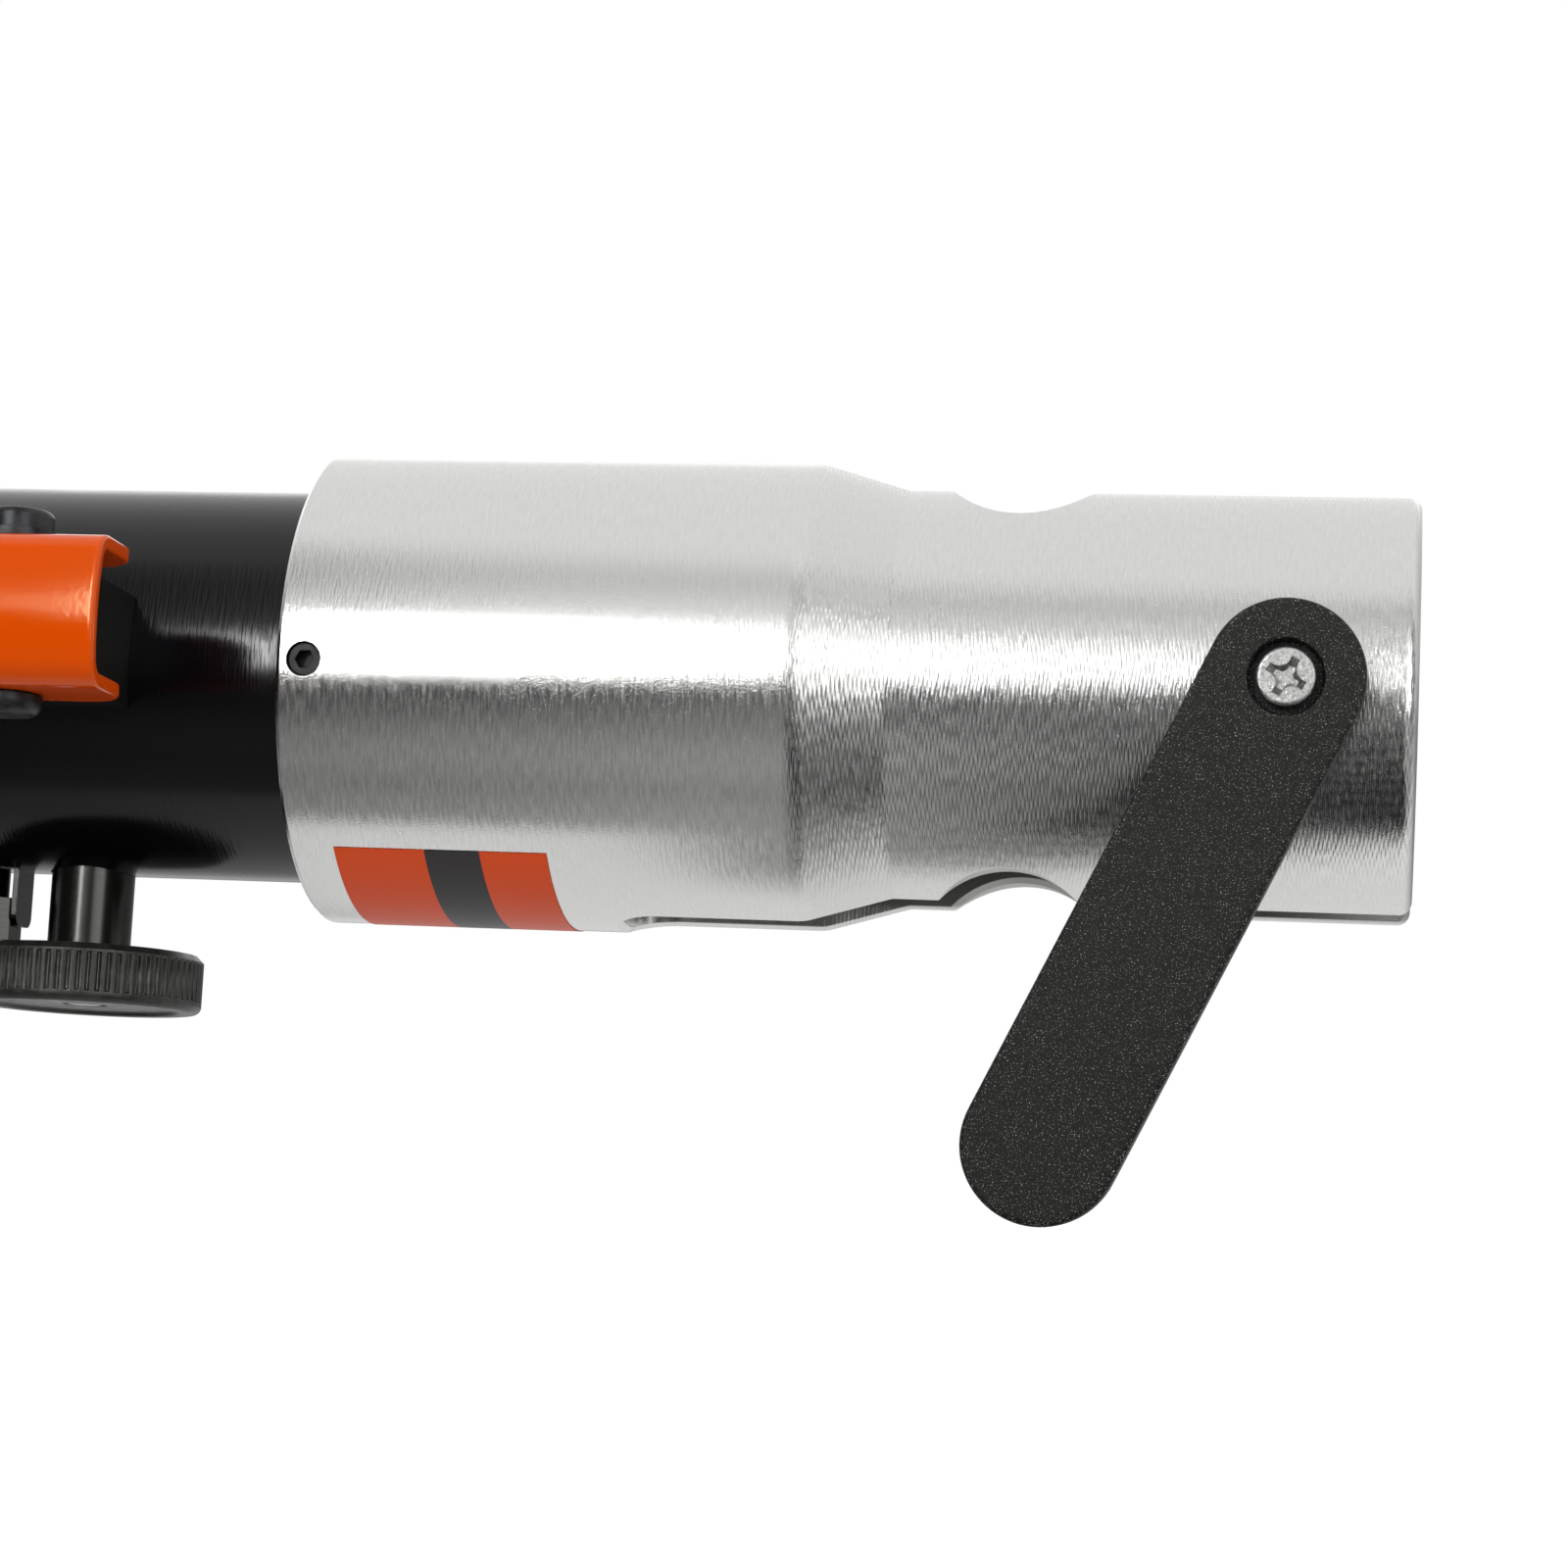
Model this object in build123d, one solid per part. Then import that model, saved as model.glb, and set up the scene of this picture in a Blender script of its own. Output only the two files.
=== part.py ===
"""Hand-pumped hydraulic crimping tool with a swivelling jaw-holder head.

Millimetres. The origin is where the jaw pin's axis crosses the tool's axis. The pieces are
drawn with +X from the head to the handles, -Y the side of the latch lever and the pump
lever, and +Z the side of the release knob. The finished tool is then turned half round
about Y, as it is held in use: the head points to +X and the knob hangs below.
"""
from build123d import *
from math import cos, pi, radians, sin, sqrt
import os

# Fits
RUN_FIT = 0.05          # radial play of a shaft that turns or slides in its hole
SEAT_FIT = 0.05         # play of a screwed or pressed piece in its seat
FACE_GAP = 0.3          # play between flat faces that pass each other
OVERCUT = 2.0           # how far a cutter runs past a face

# Head: a turned aluminium blank, slotted to take a jaw
BODY_RADIUS = 35.5
HEAD_WALL = 7.0             # round the swivel bore
CONE_STEP = 4.2             # how much slimmer the fork is than the rear of the head
FORK_FRONT_REACH = 21.5     # from the pin to the front face
FORK_LENGTH = 67.3          # from the pin to where the fork starts to widen
CONE_LENGTH = 15.2
FORK_BLEND = 3.0            # rounding where the fork meets the cone
CONE_BLEND = 9.0            # rounding at the cone's wide end
FRONT_EDGE_FILLET = 2.2
REAR_EDGE_CHAMFER = 0.7
SLOT_WIDTH = 25.0           # jaw thickness plus play
SLOT_LENGTH = 116.0         # from the pin to the closed end
SLOT_CORNER = 7.0
SLOT_EDGE_CHAMFER = 1.0     # where the slot breaks out of the round
SCALLOP_X = 47.0
SCALLOP_RADIUS = 16.6
SCALLOP_DEPTH = 7.8         # below the fork's crown
HEAD_WEB = 8.0              # wall between the jaw slot and the swivel bore
SWIVEL_LENGTH = 47.5        # how far the body reaches into the head

# Jaw pin and its latch lever
PIN_RADIUS = 7.0            # the stretch that carries the jaw
PIN_STEP = 1.0              # from one stretch of the pin to the next
PIN_COLLAR_RADIUS = 9.5
PIN_NOSE_CHAMFER = 1.5
SPOT_FACE_PLAY = 1.5        # round the collar
LEVER_CLEARANCE = 0.5       # the lever passes over the head when it lies along it
LEVER_THICKNESS = 5.5
LEVER_CENTRES = 86.0
LEVER_WIDTH = 26.2
LEVER_ANGLE = 64.3          # from +X towards +Z, as it stands at rest
LEVER_EDGE_FILLET = 0.9
LEVER_RECESS_DEPTH = 3.0
LEVER_RECESS_PLAY = 1.4     # round the screw's head
LATCH_SCREW_RADIUS = 2.5
LATCH_SCREW_LENGTH = 14.0
LATCH_HEAD_RADIUS = 4.9
LATCH_HEAD_HEIGHT = 3.4
LATCH_HEAD_EDGE = 0.7       # rounding of the screw's flat head

# Swivel lock screw
LOCK_SCREW_INSET = 4.9      # from the head's rear face
LOCK_SCREW_RADIUS = 3.0
LOCK_SCREW_RECESS = 0.8     # depth of its end face below the head's surface
LOCK_SOCKET = 3.0           # across flats
LOCK_SOCKET_DEPTH = 2.6
LOCK_GROOVE_DEPTH = 2.4
LOCK_GROOVE_PLAY = 0.4

# Ram, roller carrier and rollers
CYLINDER_RADIUS = 22.0
CYLINDER_BACK_WALL = 12.0   # from the cylinder's end to the release valve's axis
GLAND_LENGTH = 10.0
NOSE_GAP = 0.5              # between the body's nose and the head's web
RAM_STROKE = 34.0
ROD_RADIUS = 12.0
PISTON_LENGTH = 12.0
PISTON_REST_GAP = 0.5
SEAL_GROOVE_WIDTH = 4.0
SEAL_GROOVE_DEPTH = 2.5
SPIGOT_RADIUS = 8.0
CARRIER_BLOCK = 10.0        # thickness of the carrier's back
CARRIER_ARM = 4.2           # thickness of each side plate
CARRIER_CHEEK = 5.0         # beyond the axles, above and below
CARRIER_LIP = 3.0           # beyond the axles, towards the jaw
ROLLER_RADIUS = 10.0
ROLLER_GAP = 0.8            # between the two rollers
ROLLER_BACK_GAP = 1.0       # between the rollers and the carrier's back
ROLLER_SIDE_GAP = 0.35
ROLLER_EDGE_CHAMFER = 0.8
AXLE_RADIUS = 4.0

# Return spring
SPRING_WIRE = 3.0
SPRING_TURNS = 5

# Pump body
FULCRUM_OFFSET = 38.5       # from the head's rear face to the fulcrum bolt
RELEASE_OFFSET = 6.0        # from the fulcrum bolt to the release valve
BODY_CONE_OFFSET = 42.0     # from the fulcrum bolt to where the body starts to narrow
BODY_CONE_LENGTH = 20.0
BODY_CONE_BLEND = 12.0
BODY_TAIL_RADIUS = 26.0
FLAT_DEPTH = 1.2            # depth of the flats milled under the knob and the lock tab
HEAD_TURN = 2.2             # degrees that the swivelling head stands off the pump's side

# Fulcrum lug and bolt
FULCRUM_HEIGHT = 30.5       # from the body's side to the bolt's axis
LUG_RADIUS = 10.0
LUG_SPIGOT_RADIUS = 8.0
LUG_SPIGOT_DEPTH = 10.0     # how far the lug's spigot sits in the body
BOLT_RADIUS = 4.0
BOLT_HEAD_RADIUS = 5.8
BOLT_HEAD_HEIGHT = 3.8
BOLT_HEAD_FILLET = 1.2
BOLT_SOCKET = 4.0           # across flats
BOLT_SOCKET_DEPTH = 2.2
NUT_RADIUS = 6.0
NUT_HEIGHT = 3.4
NUT_DOME = 2.4              # rounding of its domed end
NUT_CAP = 1.0               # wall that closes its thread
WASHER_RADIUS = 7.4
WASHER_THICKNESS = 1.4

# Pump lever: pressed yoke, tube and grip
YOKE_INNER_WIDTH = 20.4
YOKE_PLATE = 2.5
YOKE_BEND = 5.0             # outside radius of its two bends
YOKE_WEB_OFFSET = 14.0      # from the bolt's axis to its outer face
YOKE_DEPTH = 21.0
YOKE_NOSE = 19.0            # from the bolt's axis to its front end
YOKE_TAIL = 82.0            # from the bolt's axis to its rear end
YOKE_CORNER = 7.0
LEVER_TUBE_WALL = 2.0
LEVER_TUBE_INSET = 16.0     # from the plunger's axis to the tube's front end
LEVER_SWING = 28.0          # degrees from closed to open
MOVING_GRIP_WALL = 5.0
RIVET_RADIUS = 3.0
RIVET_HEAD_RADIUS = 5.5
RIVET_HEAD_HEIGHT = 2.2
RIVET_INSET = 11.0

# Pump
PLUNGER_ARM = 32.0          # from the bolt's axis to the plunger's axis
PLUNGER_RADIUS = 6.0
PLUNGER_INNER_END = 8.0     # distance of its inner end from the tool's axis, lever closed
PLUNGER_BORE_END = 4.0
PLUNGER_EYE_RADIUS = 8.0
PLUNGER_EYE_WIDTH = 16.0
PLUNGER_PIN_RADIUS = 4.0
PLUNGER_PIN_CHAMFER = 0.5
PIN_SLOT_PLAY = 0.7
BARREL_RADIUS = 12.5
BARREL_HEIGHT = 14.5        # above the body's side
BARREL_DEPTH = 14.0         # how far the barrel screws into the body
BARREL_CHAMFER = 1.5
PLUNGER_SEAL_WIDTH = 3.0
PLUNGER_SEAL_DEPTH = 2.4
CLIP_THICKNESS = 1.0
CLIP_WALL = 1.8
CHECK_BALL_RADIUS = 3.0
CHECK_POCKET_PLAY = 0.3
CHECK_PORT_Z = -11.0        # height of the delivery port in the cylinder's end

# Release valve
KNOB_RADIUS = 21.0
KNOB_HEIGHT = 10.5
KNOB_RIDGES = 72
KNOB_RIDGE_DEPTH = 0.7
KNOB_EDGE_CHAMFER = 1.2     # towards the body
KNOB_FACE_CHAMFER = 2.3     # towards the hand
KNOB_RIM = 4.0              # round the shallow dish in its face
KNOB_DISH_DEPTH = 0.7
STEM_HEIGHT = 14.0          # from the body's side to the knob
STEM_RADIUS = 7.5
STEM_SHANK_RADIUS = 5.0
STEM_DEPTH = 23.5           # from the body's side to the needle's tip
NEEDLE_LENGTH = 6.0
NEEDLE_TIP_RADIUS = 0.8
STEM_SEAL_WIDTH = 2.6
STEM_SEAL_DEPTH = 1.6
STEM_SEAL_INSET = 8.0       # from the body's side
STEM_SEAT_GAP = 0.6
KNOB_SCREW_RADIUS = 2.0
KNOB_SCREW_LENGTH = 9.0
KNOB_SCREW_HEAD_RADIUS = 3.6
KNOB_SCREW_HEAD_HEIGHT = 2.0

# Pressure relief plug and its lock tab
RELIEF_OFFSET = 19.5        # from the release valve's axis
RELIEF_HEAD_FLATS = 10.5
RELIEF_NECK_HEIGHT = 5.0    # above the body's side
RELIEF_KNOB_GAP = 1.2       # between its head and the knob above
RELIEF_NECK_RADIUS = 3.4
RELIEF_DEPTH = 25.0         # from the body's side to the bottom of its bore
RELIEF_SPRING_WIRE = 1.0
RELIEF_SPRING_TURNS = 5
RELIEF_SPRING_LENGTH = 11.0
TAB_THICKNESS = 1.0
TAB_WIDTH = 8.0
TAB_HEIGHT = 10.0           # above the body's side
TAB_GAP = 0.4

# Fixed handle: reservoir tube, bladder, grip
TUBE_RADIUS = 16.0
TUBE_WALL = 2.5
TUBE_SOCKET = 22.0          # how far the tube screws into the body
HANDLE_LENGTH = 312.0       # from the body's rear face to the handles' ends
FIXED_GRIP_WALL = 3.0
GRIP_LENGTH = 150.0
GRIP_GROOVES = 9
GRIP_GROOVE_DEPTH = 1.0
GRIP_GROOVE_WIDTH = 3.0
GRIP_END_WALL = 3.5
GRIP_END_FILLET = 2.4
SPIGOT_FLANGE = 6.0
BLADDER_PLAY = 0.9          # between the bladder and the tube
BLADDER_WALL = 1.8
BLADDER_LENGTH = 165.0
BLADDER_SPIGOT_RADIUS = 8.0
BLADDER_SPIGOT_LENGTH = 14.0
OIL_BORE_RADIUS = 2.0
PLUG_LENGTH = 18.0
PLUG_CHAMFER = 1.0

# Places worked out from the sizes above
HEAD_RADIUS = BODY_RADIUS + HEAD_WALL
FORK_RADIUS = HEAD_RADIUS - CONE_STEP
CONE_REAR = FORK_LENGTH + CONE_LENGTH
SLOT_HALF = SLOT_WIDTH / 2
SCALLOP_CENTRE = FORK_RADIUS - SCALLOP_DEPTH + SCALLOP_RADIUS
SWIVEL_FRONT = SLOT_LENGTH + HEAD_WEB
HEAD_REAR = SWIVEL_FRONT + SWIVEL_LENGTH
NOSE_FRONT = SWIVEL_FRONT + NOSE_GAP
PIN_NEAR_RADIUS = PIN_RADIUS + PIN_STEP
PIN_FAR_RADIUS = PIN_RADIUS - PIN_STEP
SPOT_FACE_RADIUS = PIN_COLLAR_RADIUS + SPOT_FACE_PLAY
SPOT_FACE_Y = sqrt(FORK_RADIUS**2 - SPOT_FACE_RADIUS**2)
LEVER_UNDERSIDE = HEAD_RADIUS + LEVER_CLEARANCE
LEVER_TOP = LEVER_UNDERSIDE + LEVER_THICKNESS
LEVER_SEAT = LEVER_TOP - LEVER_RECESS_DEPTH
LOCK_SCREW_X = HEAD_REAR - LOCK_SCREW_INSET
LOCK_GROOVE_RADIUS = BODY_RADIUS - LOCK_GROOVE_DEPTH
FULCRUM_X = HEAD_REAR + FULCRUM_OFFSET
RELEASE_X = FULCRUM_X + RELEASE_OFFSET
RELIEF_X = RELEASE_X + RELIEF_OFFSET
PLUNGER_X = FULCRUM_X + PLUNGER_ARM
BODY_CONE_FRONT = FULCRUM_X + BODY_CONE_OFFSET
BODY_REAR = BODY_CONE_FRONT + BODY_CONE_LENGTH
CYLINDER_END = RELEASE_X - CYLINDER_BACK_WALL
PISTON_REAR = CYLINDER_END - PISTON_REST_GAP
PISTON_FRONT = PISTON_REAR - PISTON_LENGTH
PISTON_MIDDLE = (PISTON_FRONT + PISTON_REAR) / 2
GLAND_REAR = NOSE_FRONT + GLAND_LENGTH
GLAND_MIDDLE = (NOSE_FRONT + GLAND_REAR) / 2
SPRING_MEAN_RADIUS = (ROD_RADIUS + CYLINDER_RADIUS) / 2
CARRIER_REAR = SLOT_LENGTH - SLOT_CORNER
CARRIER_INNER = CARRIER_REAR - CARRIER_BLOCK
CARRIER_HALF = SLOT_HALF - FACE_GAP
ROLLER_HALF = CARRIER_HALF - CARRIER_ARM - ROLLER_SIDE_GAP
ROLLER_X = CARRIER_INNER - ROLLER_RADIUS - ROLLER_BACK_GAP
ROLLER_Z = ROLLER_RADIUS + ROLLER_GAP / 2
CARRIER_FRONT = ROLLER_X - AXLE_RADIUS - CARRIER_LIP
CARRIER_HALF_HEIGHT = ROLLER_Z + AXLE_RADIUS + CARRIER_CHEEK
FULCRUM_Y = BODY_RADIUS + FULCRUM_HEIGHT
LUG_FOOT = BODY_RADIUS - LUG_SPIGOT_DEPTH
YOKE_HALF = YOKE_INNER_WIDTH / 2
YOKE_OUTER_HALF = YOKE_HALF + YOKE_PLATE
YOKE_WEB_Y = FULCRUM_Y + YOKE_WEB_OFFSET
YOKE_FRONT = FULCRUM_X - YOKE_NOSE
YOKE_REAR = FULCRUM_X + YOKE_TAIL
LUG_HALF = YOKE_HALF - FACE_GAP
WASHER_SEAT = YOKE_OUTER_HALF + FACE_GAP
BOLT_SEAT = WASHER_SEAT + WASHER_THICKNESS
BOLT_END = WASHER_SEAT + NUT_HEIGHT - NUT_CAP
LEVER_TUBE_RADIUS = YOKE_HALF - SEAT_FIT
LEVER_TUBE_Y = YOKE_WEB_Y - YOKE_PLATE - YOKE_HALF
LEVER_TUBE_FRONT = PLUNGER_X + LEVER_TUBE_INSET
RIVET_PLACES = (LEVER_TUBE_FRONT + RIVET_INSET, YOKE_REAR - RIVET_INSET)
PIN_SLOT_TRAVEL = PLUNGER_ARM / cos(radians(LEVER_SWING)) - PLUNGER_ARM
PIN_SLOT_RADIUS = PLUNGER_PIN_RADIUS + PIN_SLOT_PLAY
BARREL_TOP = BODY_RADIUS + BARREL_HEIGHT
BARREL_FLOOR = BODY_RADIUS - BARREL_DEPTH
PLUNGER_SEAL_FAR = BARREL_TOP - 2 * PLUNGER_SEAL_WIDTH
CHECK_POCKET_RADIUS = CHECK_BALL_RADIUS + CHECK_POCKET_PLAY
FLAT_SEAT = BODY_RADIUS - FLAT_DEPTH
STEM_FLOOR = BODY_RADIUS - STEM_DEPTH
STEM_SEAL_Z = BODY_RADIUS - STEM_SEAL_INSET
KNOB_BOTTOM = BODY_RADIUS + STEM_HEIGHT
KNOB_TOP = KNOB_BOTTOM + KNOB_HEIGHT
KNOB_FACE = KNOB_TOP - KNOB_DISH_DEPTH
KNOB_SCREW_SEAT = KNOB_FACE - KNOB_SCREW_HEAD_HEIGHT
RELIEF_FLOOR = BODY_RADIUS - RELIEF_DEPTH
RELIEF_HEAD_BOTTOM = BODY_RADIUS + RELIEF_NECK_HEIGHT
RELIEF_HEAD_TOP = KNOB_BOTTOM - RELIEF_KNOB_GAP
TAB_REACH = RELIEF_HEAD_FLATS / 2 + TAB_GAP + TAB_THICKNESS
TAB_TOP = BODY_RADIUS + TAB_HEIGHT
TUBE_FRONT = BODY_REAR - TUBE_SOCKET
TUBE_BORE = TUBE_RADIUS - TUBE_WALL
HANDLE_END = BODY_REAR + HANDLE_LENGTH
GRIP_FRONT = HANDLE_END - GRIP_LENGTH
TUBE_END = HANDLE_END - GRIP_END_WALL - SEAT_FIT
BLADDER_FRONT = TUBE_FRONT + SPIGOT_FLANGE
BLADDER_RADIUS = TUBE_BORE - BLADDER_PLAY


def rod_x(radius, start, end, y=0.0, z=0.0):
    """A cylinder along X from start to end."""
    return Pos((start + end) / 2, y, z) * Rot(0, 90, 0) * Cylinder(radius, abs(end - start))


def rod_y(radius, start, end, x=0.0, z=0.0):
    """A cylinder along Y from start to end."""
    return Pos(x, (start + end) / 2, z) * Rot(90, 0, 0) * Cylinder(radius, abs(end - start))


def rod_z(radius, start, end, x=0.0, y=0.0):
    """A cylinder along Z from start to end."""
    return Pos(x, y, (start + end) / 2) * Cylinder(radius, abs(end - start))


def block(x_span, y_span, z_span):
    """A box between two limits on each axis."""
    spans = (x_span, y_span, z_span)
    sizes = [abs(high - low) for low, high in spans]
    centre = [(high + low) / 2 for low, high in spans]
    return Pos(*centre) * Box(*sizes)


def turned_x(outline, roundings=()):
    """A solid turned about the X axis from (x, radius) points; roundings are (point, radius)."""
    face = make_face(Polyline(*outline, close=True))
    for point, radius in roundings:
        corner = face.vertices().sort_by_distance((point[0], point[1], 0))[0]
        face = fillet(corner, radius)
    return revolve(Plane.XZ * face, Axis.X, 360)


def hex_prism_z(flats, start, end, x=0.0, y=0.0, turn=0.0):
    """A hexagonal prism along Z; with no turn, two of its flats face Y."""
    outline = RegularPolygon(flats / 2, 6, major_radius=False)
    return Pos(x, y, start) * Rot(0, 0, turn) * extrude(outline, end - start)


def coil_x(wire, mean_radius, start, end, turns):
    """A wound spring along X: one tube swept on quarter-turn arcs."""
    pitch = (end - start - wire) / turns

    def point(step):
        turn = step * pi / 2
        x = start + wire / 2 + pitch * step / 4
        return Vector(x, mean_radius * cos(turn), mean_radius * sin(turn))

    arcs = [ThreePointArc(point(q), point(q + 0.5), point(q + 1)) for q in range(4 * turns)]
    path = Wire(arcs)
    section = Plane(origin=point(0), z_dir=path % 0) * Circle(wire / 2)
    print(f"spring of {wire} mm wire: gap between turns {pitch - wire:.2f} mm")
    return sweep(section, path=path)


# Head


def is_slot_lip(edge):
    """Whether an edge is where the jaw slot breaks out of the head's round side."""
    spots = [edge @ part for part in (0, 0.5, 1)]
    beside = all(abs(abs(spot.Y) - SLOT_HALF) < SEAT_FIT for spot in spots)
    return beside and all(abs(spot.Z) > FORK_RADIUS / 2 for spot in spots)


def head_housing():
    front = -FORK_FRONT_REACH
    outline = [
        (front, 0),
        (front, FORK_RADIUS),
        (FORK_LENGTH, FORK_RADIUS),
        (CONE_REAR, HEAD_RADIUS),
        (HEAD_REAR, HEAD_RADIUS),
        (HEAD_REAR, 0),
    ]
    roundings = [
        (outline[1], FRONT_EDGE_FILLET),
        (outline[2], FORK_BLEND),
        (outline[3], CONE_BLEND),
    ]
    head = turned_x(outline, roundings)
    rear_rim = head.edges().filter_by(GeomType.CIRCLE).group_by(Axis.X)[-1]
    head = chamfer(rear_rim, REAR_EDGE_CHAMFER)
    reach = 2 * HEAD_RADIUS
    slot = block((front - OVERCUT, SLOT_LENGTH), (-SLOT_HALF, SLOT_HALF), (-reach, reach))
    slot_corners = slot.edges().filter_by(Axis.Z).group_by(Axis.X)[-1]
    head -= fillet(slot_corners, SLOT_CORNER)
    for side in (-1, 1):
        head -= rod_y(SCALLOP_RADIUS, -reach, reach, SCALLOP_X, side * SCALLOP_CENTRE)
    head = chamfer(head.edges().filter_by(is_slot_lip), SLOT_EDGE_CHAMFER)
    head -= rod_x(BODY_RADIUS + RUN_FIT, SWIVEL_FRONT, HEAD_REAR + OVERCUT)
    head -= rod_x(ROD_RADIUS + RUN_FIT, CARRIER_REAR - RAM_STROKE - OVERCUT, SWIVEL_FRONT + OVERCUT)
    head -= rod_y(PIN_NEAR_RADIUS + RUN_FIT, -reach, 0)
    head -= rod_y(PIN_FAR_RADIUS + RUN_FIT, 0, reach)
    head -= rod_y(SPOT_FACE_RADIUS, -reach, -SPOT_FACE_Y)
    return head - rod_y(LOCK_SCREW_RADIUS + SEAT_FIT, -reach, 0, LOCK_SCREW_X)


def head_lock_screw():
    outer = -HEAD_RADIUS + LOCK_SCREW_RECESS
    inner = -LOCK_GROOVE_RADIUS - LOCK_GROOVE_PLAY
    screw = rod_y(LOCK_SCREW_RADIUS, outer, inner, LOCK_SCREW_X)
    screw = chamfer(screw.edges().filter_by(GeomType.CIRCLE), LOCK_SCREW_RADIUS / 10)
    socket = extrude(RegularPolygon(LOCK_SOCKET / 2, 6, major_radius=False), LOCK_SOCKET_DEPTH)
    return screw - Pos(LOCK_SCREW_X, outer, 0) * Rot(-90, 0, 0) * socket


# Jaw pin and latch lever


def jaw_pin():
    far_end = sqrt(FORK_RADIUS**2 - PIN_FAR_RADIUS**2)
    pin = rod_y(PIN_FAR_RADIUS, SLOT_HALF, far_end)
    nose = pin.edges().group_by(Axis.Y)[-1]
    pin = chamfer(nose, PIN_NOSE_CHAMFER)
    top = -LEVER_UNDERSIDE + FACE_GAP
    pin += rod_y(PIN_RADIUS, -SLOT_HALF, SLOT_HALF)
    pin += rod_y(PIN_NEAR_RADIUS, top, -SLOT_HALF)
    pin += rod_y(PIN_COLLAR_RADIUS, top, -SPOT_FACE_Y - FACE_GAP)
    thread_end = -LEVER_SEAT + LATCH_SCREW_LENGTH + OVERCUT
    return pin - rod_y(LATCH_SCREW_RADIUS + RUN_FIT, top - OVERCUT, thread_end)


def latch_lever():
    outline = Pos(LEVER_CENTRES / 2, 0) * SlotCenterToCenter(LEVER_CENTRES, LEVER_WIDTH)
    plate = extrude(Plane.XZ * Rot(0, 0, LEVER_ANGLE) * outline, LEVER_THICKNESS)
    plate = Pos(0, -LEVER_UNDERSIDE, 0) * plate
    plate = fillet(plate.edges().group_by(Axis.Y)[0], LEVER_EDGE_FILLET)
    plate -= rod_y(LATCH_HEAD_RADIUS + LEVER_RECESS_PLAY, -LEVER_TOP - OVERCUT, -LEVER_SEAT)
    return plate - rod_y(LATCH_SCREW_RADIUS + SEAT_FIT, -LEVER_TOP, -LEVER_UNDERSIDE + OVERCUT)


def latch_screw():
    head = rod_y(LATCH_HEAD_RADIUS, -LEVER_SEAT - LATCH_HEAD_HEIGHT, -LEVER_SEAT)
    head = fillet(head.edges().group_by(Axis.Y)[0], LATCH_HEAD_EDGE)
    return head + rod_y(LATCH_SCREW_RADIUS, -LEVER_SEAT, -LEVER_SEAT + LATCH_SCREW_LENGTH)


# Ram and rollers


def ring_x(outer, inner, middle, width):
    """A flat ring about the X axis."""
    disc = rod_x(outer, middle - width / 2, middle + width / 2)
    return disc - rod_x(inner, middle - width, middle + width)


def ram():
    outline = [
        (CARRIER_INNER, 0),
        (CARRIER_INNER, SPIGOT_RADIUS),
        (CARRIER_REAR, SPIGOT_RADIUS),
        (CARRIER_REAR, ROD_RADIUS),
        (PISTON_FRONT, ROD_RADIUS),
        (PISTON_FRONT, CYLINDER_RADIUS - RUN_FIT),
        (PISTON_REAR, CYLINDER_RADIUS - RUN_FIT),
        (PISTON_REAR, 0),
    ]
    groove_floor = CYLINDER_RADIUS - SEAL_GROOVE_DEPTH
    return turned_x(outline) - ring_x(CYLINDER_RADIUS, groove_floor, PISTON_MIDDLE, SEAL_GROOVE_WIDTH)


def piston_seal():
    inner = CYLINDER_RADIUS - SEAL_GROOVE_DEPTH + SEAT_FIT
    return ring_x(CYLINDER_RADIUS - RUN_FIT, inner, PISTON_MIDDLE, SEAL_GROOVE_WIDTH - 2 * SEAT_FIT)


def roller_carrier():
    height = CARRIER_HALF_HEIGHT
    carrier = block((CARRIER_FRONT, CARRIER_REAR), (-CARRIER_HALF, CARRIER_HALF), (-height, height))
    front_corners = carrier.edges().filter_by(Axis.Y).group_by(Axis.X)[0]
    carrier = fillet(front_corners, AXLE_RADIUS + CARRIER_LIP)
    gap = CARRIER_HALF - CARRIER_ARM
    carrier -= block((CARRIER_FRONT - OVERCUT, CARRIER_INNER), (-gap, gap), (-2 * height, 2 * height))
    for side in (-1, 1):
        carrier -= rod_y(AXLE_RADIUS + SEAT_FIT, -SLOT_WIDTH, SLOT_WIDTH, ROLLER_X, side * ROLLER_Z)
    return carrier - rod_x(SPIGOT_RADIUS + SEAT_FIT, CARRIER_INNER - OVERCUT, CARRIER_REAR + OVERCUT)


def roller_axles():
    half = CARRIER_HALF - FACE_GAP
    return [rod_y(AXLE_RADIUS, -half, half, ROLLER_X, side * ROLLER_Z) for side in (-1, 1)]


def roller(side):
    wheel = rod_y(ROLLER_RADIUS, -ROLLER_HALF, ROLLER_HALF, ROLLER_X, side * ROLLER_Z)
    wheel = chamfer(wheel.edges().filter_by(GeomType.CIRCLE), ROLLER_EDGE_CHAMFER)
    return wheel - rod_y(AXLE_RADIUS + RUN_FIT, -SLOT_WIDTH, SLOT_WIDTH, ROLLER_X, side * ROLLER_Z)


def return_spring():
    start = GLAND_REAR + FACE_GAP
    end = PISTON_FRONT - FACE_GAP
    return coil_x(SPRING_WIRE, SPRING_MEAN_RADIUS, start, end, SPRING_TURNS)


# Pump body and what is screwed into it


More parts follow.
